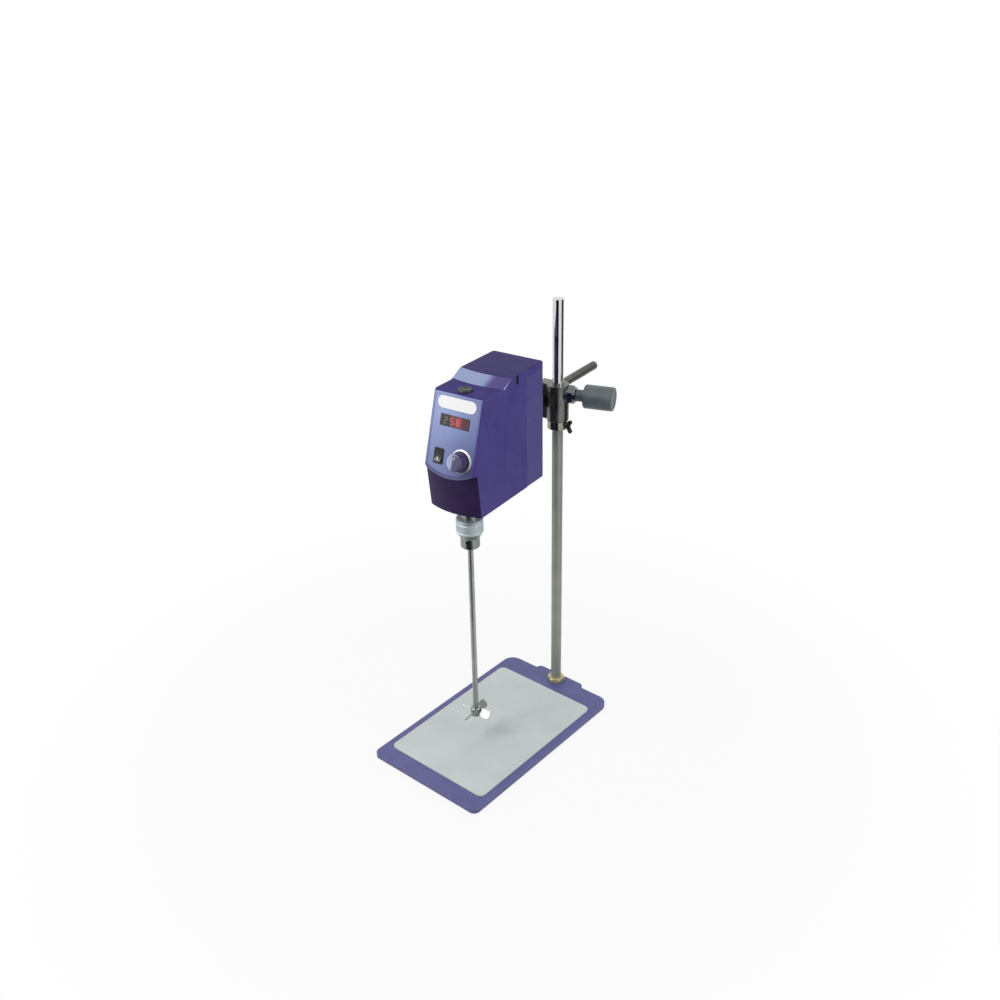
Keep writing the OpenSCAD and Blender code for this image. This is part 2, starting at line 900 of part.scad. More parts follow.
module rear_cover() {
  lip_w = head_w - 2 * wall - 2 * screw_gap;
  color([0.31, 0.27, 0.5])
    in_head()
      difference() {
        union() {
          difference() {
            housing_solid(0);
            front_half(split_v);
          }
          translate([-lip_w / 2, split_v - lap_d, wall + screw_gap])
            cube([lip_w, lap_d + 2, deck_h - 2 * wall - 2 * screw_gap]);
        }
        housing_solid(wall + lap_t + screw_gap);
        difference() {
          housing_solid(wall);
          front_half(split_v + 2);
        }
        translate([-frame_w / 2 - 1, split_v - lap_d - 1, 0])
          cube([frame_w + 2, lap_d + 4, floor_top + 1]);
        flange_screw_places()
          translate([0, 0, head_d - wall - 1])
            cylinder(d = flange_screw_d + 2 * screw_gap, h = wall + 2);
        translate([-inlet_w / 2 + 2, head_d - wall - 1, inlet_up - inlet_h / 2 + 1.5])
          cube([inlet_w - 4, wall + 2, inlet_h - 3]);
      }
}

module top_cover() {
  color([0.33, 0.3, 0.55])
    in_head()
      difference() {
        top_cover_solid(0);
        top_cover_solid(wall);
        side_slot();
      }
}

module top_cover_solid(inset) {
  intersection() {
    translate([0, (head_d + cap_front - cap_bow) / 2, deck_h - (inset > 0 ? 1 : 0)])
      rounded_slab(
        head_w - 2 * inset, head_d - cap_front + cap_bow - 2 * inset,
        cap_h - inset + (inset > 0 ? 1 : 0), back_edge_r - inset
      );
    translate([0, cap_front - cap_bow + cap_r + inset, deck_h])
      cylinder(r1 = cap_r, r2 = cap_r - cap_lean, h = cap_h, $fn = 128);
  }
}

module front_panel() {
  color([0.51, 0.58, 0.8])
    on_panel()
      difference() {
        union() {
          translate([0, panel_len / 2, 0])
            rounded_slab(panel_w, panel_len - 2 * panel_end, panel_t, 4);
          intersection() {
            translate([-panel_w / 2, -lip_drop, 0])
              cube([panel_w, lip_drop + panel_len / 2, panel_t]);
            translate([0, lip_arc_y, 0])
              cylinder(r = lip_arc_r - 4, h = panel_t, $fn = 128);
          }
        }
        translate([-window_w / 2 - screw_gap, window_up - window_h / 2 - screw_gap, -1])
          cube([window_w + 2 * screw_gap, window_h + 2 * screw_gap, panel_t + 2]);
        translate([-switch_left - switch_w / 2, switch_up - switch_h / 2, -1])
          translate([1, 1, 0])
            cube([switch_w - 2, switch_h - 2, panel_t + 2]);
        translate([dial_right, dial_up, -1])
          cylinder(d = dial_shaft_d + 2, h = panel_t + 2);
      }
}

module label_plate() {
  thickness = 0.6;
  color([0.95, 0.95, 0.95])
    on_panel()
      translate([0, label_up, panel_t])
        rounded_slab(label_w, label_h, thickness, label_h / 2 - 0.5);
}

module display_window() {
  color([0.15, 0.05, 0.06])
    on_panel()
      translate([0, window_up, 0])
        rounded_slab(window_w, window_h, panel_t + 0.3, 1);
}

module display_module() {
  color([0.1, 0.1, 0.1])
    on_panel()
      translate([-window_w / 2 - 2, window_up - window_h / 2 - 2, -display_depth])
        cube([window_w + 4, window_h + 4, display_depth]);
}

module switch_body() {
  rim = 1.2;
  color([0.06, 0.06, 0.06])
    on_panel()
      translate([-switch_left, switch_up, 0])
        difference() {
          union() {
            translate([0, 0, panel_t])
              rounded_slab(switch_w, switch_h, rim, 1.5);
            translate([-switch_w / 2 + 1 + fit, -switch_h / 2 + 1 + fit, -switch_depth])
              cube([switch_w - 2 - 2 * fit, switch_h - 2 - 2 * fit, switch_depth + panel_t]);
          }
          translate([-switch_w / 2 + 2, -switch_h / 2 + 2, -5])
            cube([switch_w - 4, switch_h - 4, 5 + panel_t + rim + 1]);
        }
}

module rocker() {
  rocker_w = switch_w - 4.6;
  rocker_h = switch_h - 5.2;
  color([0.12, 0.12, 0.12])
    on_panel()
      translate([-switch_left, switch_up, panel_t])
        rotate([-rocker_tilt, 0, 0])
          union() {
            translate([-rocker_w / 2, -rocker_h / 2, -1.5])
              cube([rocker_w, rocker_h, 4.1]);
            translate([-rocker_w / 2, 0, 0])
              rotate([0, 90, 0])
                cylinder(r = 2.5, h = rocker_w);
          }
}

module speed_knob() {
  skirt_top = panel_t + screw_gap + 2;
  color([0.3, 0.27, 0.4])
    on_panel()
      translate([dial_right, dial_up, 0])
        difference() {
          union() {
            translate([0, 0, skirt_top])
              cylinder(d1 = dial_d, d2 = dial_d - 2, h = dial_h - 1);
            translate([0, 0, skirt_top + dial_h - 1])
              cylinder(d1 = dial_d - 2, d2 = dial_d - 4, h = 1);
          }
          cylinder(d = dial_shaft_d + 2 * fit, h = skirt_top + dial_h - 3);
        }
}

module speed_knob_skirt() {
  color([0.85, 0.85, 0.88])
    on_panel()
      translate([dial_right, dial_up, panel_t + screw_gap])
        difference() {
          cylinder(d1 = skirt_d, d2 = skirt_d - 3, h = 2);
          translate([0, 0, -eps])
            cylinder(d = dial_shaft_d + 2 * fit, h = 2 + 2 * eps);
        }
}

module potentiometer() {
  shaft_top = panel_t + screw_gap + 2 + dial_h - 4;
  color([0.45, 0.45, 0.45])
    on_panel()
      translate([dial_right, dial_up, 0]) {
        translate([0, 0, -pot_depth])
          cylinder(d = pot_d, h = pot_depth);
        cylinder(d = dial_shaft_d, h = shaft_top);
      }
}

module inner_frame() {
  color([0.7, 0.7, 0.7])
    in_head()
      difference() {
        union() {
          translate([-frame_w / 2, frame_v0, wall])
            cube([frame_w, frame_back - frame_v0, floor_t]);
          translate([-frame_w / 2, frame_back - frame_t, wall])
            cube([frame_w, frame_t, frame_h]);
          translate([-frame_w / 2, frame_v0, shelf_w])
            cube([frame_w, frame_back - frame_v0, shelf_t]);
          translate([0, spindle_v, wall])
            cylinder(d = bearing_d + 6, h = lower_bearing_w - wall + bearing_t);
          translate([0, spindle_v, upper_bearing_w - bearing_step])
            cylinder(d = bearing_d + 4, h = motor_z - upper_bearing_w + bearing_step);
          for (x = [-1, 1])
            translate([x * (frame_w / 2 - 2) - 2, frame_back - 40, wall])
              cube([4, 40, shelf_w - wall]);
        }
        translate([0, spindle_v, -1])
          cylinder(d = spindle_d + 3, h = shelf_w + 30);
        translate([0, spindle_v, lower_bearing_w])
          cylinder(d = bearing_d + 2 * fit, h = bearing_t + 1);
        translate([0, spindle_v, upper_bearing_w])
          cylinder(d = bearing_d + 2 * fit, h = bearing_t + 1);
        translate([0, motor_v, shelf_w - 1])
          cylinder(d = gear_m * (pinion_teeth + 4), h = shelf_t + 2);
        motor_screw_places()
          translate([0, 0, shelf_w - 1])
            cylinder(d = 3 + 2 * screw_gap, h = shelf_t + 2);
        bottom_screw_places()
          translate([0, 0, wall - 1])
            cylinder(d = 3 + 2 * fit, h = floor_t + 2);
        flange_screw_places()
          translate([0, 0, frame_back - frame_t - 1])
            cylinder(d = flange_screw_d + 2 * fit, h = frame_t + 2);
        translate([-inlet_w / 2, frame_back - frame_t - 1, inlet_up - inlet_h / 2])
          cube([inlet_w, frame_t + 2, inlet_h]);
      }
}

module frame_screws() {
  color([0.6, 0.6, 0.6])
    in_head()
      bottom_screw_places() {
        translate([0, 0, -1.5])
          cylinder(d = 6, h = 1.5);
        translate([0, 0, -0.5])
          cylinder(d = 3, h = wall + floor_t);
      }
}

module spindle_bearings() {
  color([0.75, 0.75, 0.75])
    in_head()
      for (w = [lower_bearing_w, upper_bearing_w])
        translate([0, spindle_v, w])
          difference() {
            cylinder(d = bearing_d, h = bearing_t);
            translate([0, 0, -eps])
              cylinder(r = spindle_r + fit, h = bearing_t + 2 * eps);
          }
}

module spindle() {
  color([0.7, 0.72, 0.72])
    in_head()
      translate([0, spindle_v, 0])
        difference() {
          union() {
            translate([0, 0, -nose_h])
              cylinder(r = spindle_r, h = nose_h + spindle_top);
            translate([0, 0, -nose_h])
              cylinder(d = nose_d, h = nose_h - 1);
          }
          translate([0, 0, -nose_h - eps])
            cylinder(r = rod_bore_r, h = nose_h + spindle_top + 2 * eps);
        }
}

// Points of an involute gear outline with 20 degree flanks
function involute(base_r, t) = [base_r * sqrt(1 + t * t), t * 180 / PI - atan(t)];
function gear_points(teeth, root_r) =
  let (
    pitch_r = gear_m * teeth / 2,
    base_r = pitch_r * cos(20),
    tip_r = pitch_r + gear_m * 0.95,
    t_tip = sqrt(pow(tip_r / base_r, 2) - 1),
    pitch_angle = tan(20) * 180 / PI - 20,
    half = 90 / teeth - backlash / pitch_r * 45 / PI + pitch_angle,
    steps = 4
  )
  [
    for (i = [0:teeth - 1])
      for (side = [-1, 1])
        for (k = [0:steps + 1])
          let (
            j = side < 0 ? k : steps + 1 - k,
            p = j == 0 ? [root_r, 0] : involute(base_r, t_tip * (j - 1) / steps),
            a = i * 360 / teeth + side * (half - p[1])
          )
          [p[0] * cos(a), p[0] * sin(a)]
  ];

module spindle_gear() {
  root_r = gear_m * (gear_teeth / 2 - 1.25);
  color([0.85, 0.82, 0.7])
    in_head()
      translate([0, spindle_v, gear_w])
        difference() {
          linear_extrude(height = gear_t)
            polygon(gear_points(gear_teeth, root_r));
          translate([0, 0, -eps])
            cylinder(r = spindle_r + fit, h = gear_t + 2 * eps);
          for (a = [0:60:300])
            rotate([0, 0, a])
              translate([root_r * 0.62, 0, -eps])
                cylinder(r = 4, h = gear_t + 2 * eps);
        }
}

module spindle_rings() {
  color([0.3, 0.3, 0.3])
    in_head()
      for (w = [gear_w - 1.5, gear_w + gear_t, motor_z + 0.2])
        translate([0, spindle_v, w])
          difference() {
            cylinder(r = spindle_r + 2, h = 1.5);
            translate([0, 0, -eps])
              cylinder(r = spindle_r + fit, h = 1.5 + 2 * eps);
          }
}

module motor_screw_places() {
  for (x = [-1, 1])
    translate([x * (motor_d / 2 - motor_wall / 2 - 3), motor_v, 0])
      children();
}

module motor_case() {
  end_t = 7;
  color([0.2, 0.2, 0.22])
    in_head()
      difference() {
        translate([0, motor_v, motor_z])
          cylinder(d = motor_d, h = motor_h);
        translate([0, motor_v, motor_z + end_t])
          cylinder(d = motor_d - 2 * motor_wall, h = motor_h - 2 * end_t);
        translate([0, motor_v, motor_z - 1])
          cylinder(d = motor_shaft_d + 10 + 2 * fit, h = motor_h + 2);
        motor_screw_places()
          translate([0, 0, motor_z - 1])
            cylinder(d = 3 + 2 * fit, h = end_t);
      }
}

module motor_magnets() {
  inner = rotor_d + 1;
  outer = motor_d - 2 * motor_wall - 2 * fit;
  color([0.3, 0.3, 0.3])
    in_head()
      for (side = [0, 180])
        translate([0, motor_v, rotor_z])
          rotate([0, 0, side])
            intersection() {
              difference() {
                cylinder(d = outer, h = rotor_h);
                translate([0, 0, -eps])
                  cylinder(d = inner, h = rotor_h + 2 * eps);
              }
              translate([0, -motor_d * 0.35, -eps])
                cube([motor_d, motor_d * 0.7, motor_h]);
            }
}

module motor_rotor() {
  color([0.5, 0.35, 0.2])
    in_head()
      translate([0, motor_v, 0]) {
        translate([0, 0, rotor_z])
          cylinder(d = rotor_d, h = rotor_h);
        translate([0, 0, gear_w - 1])
          cylinder(d = motor_shaft_d, h = motor_z + motor_h + 3 - gear_w + 1);
      }
}

module motor_pinion() {
  extra = 1;
  color([0.8, 0.7, 0.4])
    in_head()
      translate([0, motor_v, gear_w - extra])
        rotate([0, 0, 270 + (gear_teeth / 4 % 1 + 0.5) * 360 / pinion_teeth])
          difference() {
            linear_extrude(height = gear_t + 2 * extra)
              polygon(gear_points(pinion_teeth, gear_m * (pinion_teeth / 2 - 1.25)));
            translate([0, 0, -eps])
              cylinder(d = motor_shaft_d + 2 * fit, h = gear_t + 2 * extra + 2 * eps);
          }
}

module motor_bearings() {
  color([0.75, 0.75, 0.75])
    in_head()
      for (w = [motor_z + 1, motor_z + motor_h - 6])
        translate([0, motor_v, w])
          difference() {
            cylinder(d = motor_shaft_d + 10, h = 5);
            translate([0, 0, -eps])
              cylinder(d = motor_shaft_d + 2 * fit, h = 5 + 2 * eps);
          }
}

module motor_screws() {
  color([0.6, 0.6, 0.6])
    in_head()
      motor_screw_places() {
        translate([0, 0, shelf_w - 2])
          cylinder(d = 5.5, h = 2);
        translate([0, 0, shelf_w - 0.5])
          cylinder(d = 3, h = shelf_t + 5);
      }
}

module circuit_board() {
  color([0.1, 0.4, 0.2])
    in_head()
      difference() {
        translate([-board_w / 2, board_v, motor_z + 1])
          cube([board_w, board_t, board_h]);
        pillar_places()
          cylinder(d = 3, h = 10, center = true);
      }
}

module pillar_places() {
  for (x = [-1, 1])
    translate([x * (board_w / 2 - 5), board_v, motor_z + board_h * 0.57])
      rotate([-90, 0, 0])
        children();
}

module board_pillars() {
  color([0.7, 0.6, 0.4])
    in_head()
      pillar_places()
        translate([0, 0, board_t])
          cylinder(d = 6, h = board_room, $fn = 6);
}

module board_parts() {
  back = board_v + board_t;
  color([0.15, 0.15, 0.15])
    in_head() {
      translate([-board_w * 0.29, back, motor_z + board_h * 0.05])
        cube([board_w * 0.58, board_room * 0.45, board_h * 0.3]);
      for (x = [-0.2, 0.1])
        translate([x * board_w, back, motor_z + board_h * 0.8])
          rotate([-90, 0, 0])
            cylinder(d = board_w * 0.19, h = board_room * 0.41);
      translate([-board_w * 0.19, back, motor_z + board_h * 0.41])
        cube([board_w * 0.38, board_room * 0.16, board_h * 0.2]);
    }
}

module power_inlet() {
  face_t = 2;
  socket_w = inlet_w - 8;
  socket_h = inlet_h - 8;
  color([0.08, 0.08, 0.08])
    in_head()
      translate([0, head_d, inlet_up])
        rotate([-90, 0, 0])
          difference() {
            union() {
              rounded_slab(inlet_w, inlet_h, face_t, 2);
              translate([-inlet_w / 2 + 2 + fit, -inlet_h / 2 + 1.5 + fit, -inlet_depth])
                cube([inlet_w - 4 - 2 * fit, inlet_h - 3 - 2 * fit, inlet_depth + 1]);
            }
            translate([-socket_w / 2, -socket_h / 2, -inlet_depth + 4])
              cube([socket_w, socket_h, inlet_depth]);
          }
}

module inlet_pins() {
  color([0.8, 0.75, 0.5])
    in_head()
      translate([0, head_d - inlet_depth, inlet_up])
        for (p = [[-7, -2], [0, 2], [7, -2]])
          translate([p[0] - 1, 4, p[1] - 2])
            cube([2, 15, 4]);
}

module chuck_body() {
  core_len = -sleeve_top + chuck_end;
  color([0.72, 0.75, 0.75])
    in_head()
      translate([0, spindle_v, 0])
        difference() {
          union() {
            translate([0, 0, -nose_h - chuck_flange_t])
              cylinder(d = chuck_d, h = chuck_flange_t);
            translate([0, 0, chuck_end - 1])
              cylinder(r = core_r, h = -chuck_end - nose_h - chuck_flange_t + 2);
          }
          translate([0, 0, chuck_end - 2])
            cylinder(r = rod_bore_r, h = -chuck_end + 4);
          for (a = [0, 120, 240])
            rotate([0, 0, a])
              translate([0, -jaw_w / 2 - 0.2, chuck_end - 2])
                cube([core_r + 2, jaw_w + 0.4, jaw_len + 1.2]);
        }
}

module chuck_sleeve() {
  wide = chuck_d / 2;
  end_r = sleeve_end_d / 2;
  color([0.65, 0.7, 0.7])
    in_head()
      translate([0, spindle_v, 0])
        difference() {
          union() {
            translate([0, 0, sleeve_top - sleeve_wide_len])
              cylinder(r = wide, h = sleeve_wide_len);
            translate([0, 0, sleeve_top - sleeve_wide_len - sleeve_taper_len])
              cylinder(r1 = end_r, r2 = wide, h = sleeve_taper_len);
            translate([0, 0, chuck_end])
              cylinder(r = end_r, h = sleeve_end_len + eps);
          }
          translate([0, 0, chuck_end - 1])
            cylinder(r = core_r + fit, h = -chuck_end + sleeve_top + 2);
          for (a = [60, 180, 300])
            rotate([0, 0, a])
              translate([0, 0, chuck_end + sleeve_end_len / 2])
                rotate([0, 90, 0])
                  cylinder(d = key_hole_d, h = chuck_d);
        }
}

module chuck_jaw(index) {
  color([0.5, 0.5, 0.5])
    in_head()
      translate([0, spindle_v, 0])
        rotate([0, 0, 120 * (index - 1)])
          difference() {
            translate([rod_d / 2 * 0.8, -jaw_w / 2, chuck_end - 1])
              cube([jaw_r - rod_d / 2 * 0.8, jaw_w, jaw_len]);
            translate([0, 0, chuck_end - 2])
              cylinder(r = rod_bore_r, h = jaw_len + 2);
          }
}

module stirring_rod() {
  color([0.7, 0.7, 0.7])
    in_head()
      translate([0, spindle_v, rod_z - head_z])
        cylinder(d = rod_d, h = rod_len);
}

module impeller() {
  blade_len = (impeller_d - hub_d) / 2 + 1;
  color([0.7, 0.7, 0.7])
    in_head()
      translate([0, spindle_v, hub_z - head_z])
        difference() {
          union() {
            cylinder(d = hub_d, h = hub_h);
            for (i = [0:blades - 1])
              rotate([0, 0, i * 360 / blades])
                translate([hub_d / 2 - 1, 0, hub_h / 2])
                  rotate([blade_pitch, 0, 0])
                    translate([0, -blade_w / 2, -blade_t / 2])
                      cube([blade_len, blade_w, blade_t]);
          }
          translate([0, 0, -1])
            cylinder(r = rod_bore_r, h = hub_h + 2);
          rotate([0, 0, 180 / blades])
            translate([0, 0, hub_h / 2])
              rotate([0, 90, 0])
                cylinder(d = 3 + 2 * fit, h = hub_d);
        }
}

module impeller_screw() {
  color([0.3, 0.3, 0.3])
    in_head()
      translate([0, spindle_v, hub_z - head_z + hub_h / 2])
        rotate([0, 0, 180 / blades])
          rotate([0, 90, 0])
            translate([0, 0, rod_bore_r])
              cylinder(d = 3, h = hub_d / 2 - rod_bore_r);
}

module hole_plug() {
  color([0.05, 0.05, 0.05])
    in_head()
      translate([0, spindle_v, deck_h]) {
        cylinder(d1 = plug_d + 6, d2 = plug_d + 3, h = plug_h);
        translate([0, 0, -wall - 3])
          cylinder(d = plug_d - 2 * fit, h = wall + 3 + eps);
      }
}

base_plate();
base_mat();
base_pad();
pole();
pole_foot_nut();
pole_screw();
stop_ring();
ring_screw();
clamp_body();
clamp_collar();
clamp_handle();
clamp_stud();
arm_bush();
arm_screw();
support_arm();
arm_flange();
arm_flange_screws();
front_shell();
rear_cover();
top_cover();
front_panel();
label_plate();
display_window();
display_module();
switch_body();
rocker();
speed_knob();
speed_knob_skirt();
potentiometer();
inner_frame();
frame_screws();
spindle_bearings();
spindle();
spindle_gear();
spindle_rings();
motor_case();
motor_magnets();
motor_rotor();
motor_pinion();
motor_bearings();
motor_screws();
circuit_board();
board_parts();
board_pillars();
power_inlet();
inlet_pins();
chuck_body();
chuck_sleeve();
chuck_jaw(1);  // chuck_jaw_1
chuck_jaw(2);  // chuck_jaw_2
chuck_jaw(3);  // chuck_jaw_3
stirring_rod();
impeller();
impeller_screw();
hole_plug();
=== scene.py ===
import math
import bpy
from mathutils import Matrix, Vector


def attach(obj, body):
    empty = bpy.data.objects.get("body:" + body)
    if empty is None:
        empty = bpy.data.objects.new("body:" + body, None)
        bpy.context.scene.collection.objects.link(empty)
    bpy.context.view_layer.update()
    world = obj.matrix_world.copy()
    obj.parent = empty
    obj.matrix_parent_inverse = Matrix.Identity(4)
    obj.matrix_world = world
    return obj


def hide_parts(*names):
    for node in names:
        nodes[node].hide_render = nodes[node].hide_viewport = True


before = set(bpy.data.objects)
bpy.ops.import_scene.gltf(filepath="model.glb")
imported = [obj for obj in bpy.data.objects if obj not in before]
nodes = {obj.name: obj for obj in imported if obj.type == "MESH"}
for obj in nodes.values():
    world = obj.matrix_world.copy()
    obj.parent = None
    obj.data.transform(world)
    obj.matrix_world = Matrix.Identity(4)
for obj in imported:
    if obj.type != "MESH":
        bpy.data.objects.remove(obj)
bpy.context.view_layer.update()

# every piece is shaped in millimetres in its own frame, then put in its place in metres
benchPlace = Matrix.Scale(0.001, 4)


def shift(x, y, z):
    return Matrix.Translation((x, y, z))


def turn(degrees, axis):
    return Matrix.Rotation(math.radians(degrees), 4, axis)


places = {"pole": (0, 153), "headTurn": 6, "armOffset": -28, "poleToLip": -224, "underside": 403,
          "lipHeight": 66, "panelTop": 159, "panelLean": 28, "spindleBack": 41, "armHeight": 495,
          "handleHeight": 506, "handleTurn": 14, "ringScrewHeight": 460, "ringScrewTurn": -8,
          "switchAt": (-18, 15), "knobAt": (18, 14.5)}
panelTilt = math.degrees(math.atan2(places["panelLean"], places["panelTop"] - places["lipHeight"]))
panelLength = math.hypot(places["panelLean"], places["panelTop"] - places["lipHeight"])
panelInHead = shift(0, 0, places["lipHeight"]) @ turn(90 - panelTilt, "X")
clampPlace = benchPlace @ shift(*places["pole"], 0) @ turn(places["headTurn"], "Z")
headPlace = clampPlace @ shift(places["armOffset"], places["poleToLip"], places["underside"])
panelPlace = headPlace @ panelInHead
spindlePlace = headPlace @ shift(0, places["spindleBack"], 0)
handleInClamp = shift(0, 0, places["handleHeight"]) @ turn(places["handleTurn"], "Z") @ turn(90, "Y")
handlePlace = clampPlace @ handleInClamp


# tools of the bench
def clearSelection():
    if bpy.context.mode != "OBJECT":
        bpy.ops.object.mode_set(mode="OBJECT")
    bpy.ops.object.select_all(action="DESELECT")


def takeUp(piece):
    clearSelection()
    piece.select_set(True)
    bpy.context.view_layer.objects.active = piece


def settle(piece):
    takeUp(piece)
    bpy.ops.object.transform_apply(location=True, rotation=True, scale=True)
    return piece


def block(name, size, centre):
    clearSelection()
    bpy.ops.mesh.primitive_cube_add(size=1, location=centre)
    piece = bpy.context.object
    piece.name = name
    piece.scale = size
    return settle(piece)


def roundBar(name, radius, length, centre, axis="Z", sides=64):
    clearSelection()
    tilt = {"Z": (0, 0, 0), "X": (0, math.pi / 2, 0), "Y": (math.pi / 2, 0, 0)}[axis]
    bpy.ops.mesh.primitive_cylinder_add(vertices=sides, radius=radius, depth=length, location=centre,
                                        rotation=tilt)
    bpy.context.object.name = name
    return settle(bpy.context.object)


def selectNone(piece, kind):
    takeUp(piece)
    bpy.ops.object.mode_set(mode="EDIT")
    bpy.ops.mesh.select_mode(type=kind)
    bpy.ops.mesh.select_all(action="DESELECT")
    bpy.ops.object.mode_set(mode="OBJECT")


def selectTop(piece):
    selectNone(piece, "FACE")
    for face in piece.data.polygons:
        face.select = face.normal.z > 0.9
    bpy.ops.object.mode_set(mode="EDIT")


def standing(middle, way):
    return abs(way.z) > 0.9


# rounds the edges picked by their middle and their direction, the standing ones if none are named
def roundEdges(piece, width, steps, wanted=standing):
    selectNone(piece, "EDGE")
    points = piece.data.vertices
    for edge in piece.data.edges:
        a, b = (points[i].co for i in edge.vertices)
        edge.select = wanted((a + b) / 2, (b - a).normalized())
    bpy.ops.object.mode_set(mode="EDIT")
    bpy.ops.mesh.bevel(offset=width, segments=steps, affect="EDGES", clamp_overlap=True)
    clearSelection()
    return piece


def softenEdges(piece, width, steps=2, angle=35):
    takeUp(piece)
    edge = piece.modifiers.new("softEdges", "BEVEL")
    edge.width = width
    edge.segments = steps
    edge.limit_method = "ANGLE"
    edge.angle_limit = math.radians(angle)
    bpy.ops.object.modifier_apply(modifier=edge.name)
    return piece


def combine(piece, other, how):
    takeUp(piece)
    mix = piece.modifiers.new("combine", "BOOLEAN")
    mix.operation = how
    mix.solver = "EXACT"
    mix.object = other
    bpy.ops.object.modifier_apply(modifier=mix.name)
    bpy.data.objects.remove(other)
    return piece


def cutAway(piece, *cutters):
    for cutter in cutters:
        combine(piece, cutter, "DIFFERENCE")
    return piece


def fuse(piece, *others):
    for other in others:
        combine(piece, other, "UNION")
    return piece


def keepInside(piece, other):
    return combine(piece, other, "INTERSECT")


def sliceOff(piece, point, outwards, keepBoth=False):
    takeUp(piece)
    bpy.ops.object.mode_set(mode="EDIT")
    bpy.ops.mesh.select_all(action="SELECT")
    bpy.ops.mesh.bisect(plane_co=point, plane_no=outwards, use_fill=not keepBoth, clear_outer=not keepBoth)
    clearSelection()
    return piece


def moved(piece, place):
    piece.matrix_world = place
    return settle(piece)


def twin(piece, name, place=Matrix()):
    copy = piece.copy()
    copy.data = piece.data.copy()
    copy.name = name
    bpy.context.scene.collection.objects.link(copy)
    return moved(copy, place)


def joined(name, pieces):
    clearSelection()
    for piece in pieces:
        piece.select_set(True)
    bpy.context.view_layer.objects.active = pieces[0]
    bpy.ops.object.join()
    pieces[0].name = name
    return pieces[0]


# a turned piece: rings of radius and height, one after another; bored ones close on their first ring
def turned(name, rings, sides=64, bored=False):
    clearSelection()
    radius, height = rings[0]
    bpy.ops.mesh.primitive_circle_add(vertices=sides, radius=radius, location=(0, 0, height),
                                      fill_type="NOTHING" if bored else "NGON")
    piece = settle(bpy.context.object)
    piece.name = name
    bpy.ops.object.mode_set(mode="EDIT")
    bpy.ops.mesh.select_all(action="SELECT")
    for nextRadius, nextHeight in rings[1:] + ([rings[0]] if bored else []):
        lift = {"value": (0, 0, nextHeight - height)}
        bpy.ops.mesh.extrude_region_move(TRANSFORM_OT_translate=lift)
        ratio = nextRadius / radius
        bpy.ops.transform.resize(value=(ratio, ratio, 1), center_override=(0, 0, nextHeight))
        radius, height = nextRadius, nextHeight
    bpy.ops.mesh.select_all(action="SELECT")
    bpy.ops.mesh.remove_doubles(threshold=0.001)
    bpy.ops.mesh.normals_make_consistent(inside=False)
    clearSelection()
    return piece


def plate(name, width, height, thick, corner, low=(0, 0, 0), steps=5, edge=0.0):
    slab = block(name, (width, height, thick), (low[0], low[1], low[2] + thick / 2))
    roundEdges(slab, corner, steps)
    if edge:
        roundEdges(slab, edge, 2, lambda middle, way: abs(way.z) < 0.1 and middle.z > low[2] + thick - 0.01)
    return slab


# puts a piece in its place and gives it its body and its finishes
def finishPiece(piece, place, body, slotName, finishNames, *replaced, sharp=32):
    moved(piece, place)
    takeUp(piece)
    bpy.ops.object.mode_set(mode="EDIT")
    bpy.ops.mesh.select_all(action="SELECT")
    bpy.ops.mesh.normals_make_consistent(inside=False)
    bpy.ops.object.mode_set(mode="OBJECT")
    bpy.ops.object.shade_smooth_by_angle(angle=math.radians(sharp))
    bpy.ops.object.modifier_add(type="WEIGHTED_NORMAL")
    piece.modifiers[-1].keep_sharp = True
    bpy.ops.object.modifier_apply(modifier=piece.modifiers[-1].name)
    piece.data.materials.clear()
    for name in finishNames.split():
        piece.data.materials.append(finishes[name])
    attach(piece, body)
    if replaced:
        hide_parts(*replaced)
    return piece


# picks one of a piece's finishes for each face, from where the face is in the piece's own frame
def paintFaces(piece, place, pick):
    back = place.inverted()
    for face in piece.data.polygons:
        facing = (back.to_3x3() @ face.normal).normalized()
        face.material_index = pick(back @ face.center, facing)


# copies a cutter all round the upright axis and joins the copies
def ringOf(cutter, count):
    name = cutter.name
    copies = [twin(cutter, name, turn(360 / count * i, "Z")) for i in range(count)]
    bpy.data.objects.remove(cutter)
    return joined(name, copies)


# effects that several finishes share
def newEffect(name, inputs, outputs):
    tree = bpy.data.node_groups.new(name, "ShaderNodeTree")
    for socketName, kind, value in inputs:
        socket = tree.interface.new_socket(name=socketName, in_out="INPUT", socket_type=kind)
        if value is not None:
            socket.default_value = value
    for socketName, kind in outputs:
        tree.interface.new_socket(name=socketName, in_out="OUTPUT", socket_type=kind)
    return tree, tree.nodes.new("NodeGroupInput"), tree.nodes.new("NodeGroupOutput")


def addNode(tree, kind, links=None, **settings):
    node = tree.nodes.new(kind)
    for key, value in settings.items():
        setattr(node, key, value)
    for socket, source in (links or {}).items():
        if isinstance(source, bpy.types.NodeSocket):
            tree.links.new(source, node.inputs[socket])
        else:
            node.inputs[socket].default_value = source
    return node


def noise(tree, place, size, **more):
    return addNode(tree, "ShaderNodeTexNoise", {"Vector": place, "Scale": size, **more}).outputs["Fac"]


def ramp(tree, value, low, high, smooth=False, **more):
    kind = {"interpolation_type": "SMOOTHSTEP"} if smooth else {}
    span = {"Value": value, "From Min": low, "From Max": high, **more}
    return addNode(tree, "ShaderNodeMapRange", span, **kind).outputs["Result"]


def maths(tree, how, first, second):
    return addNode(tree, "ShaderNodeMath", {0: first, 1: second}, operation=how).outputs[0]


def blend(tree, share, first, second):
    return addNode(tree, "ShaderNodeMix", {0: share, 6: first, 7: second}, data_type="RGBA").outputs[2]


def blendNumbers(tree, share, first, second):
    return addNode(tree, "ShaderNodeMix", {0: share, 2: first, 3: second}, data_type="FLOAT").outputs[0]


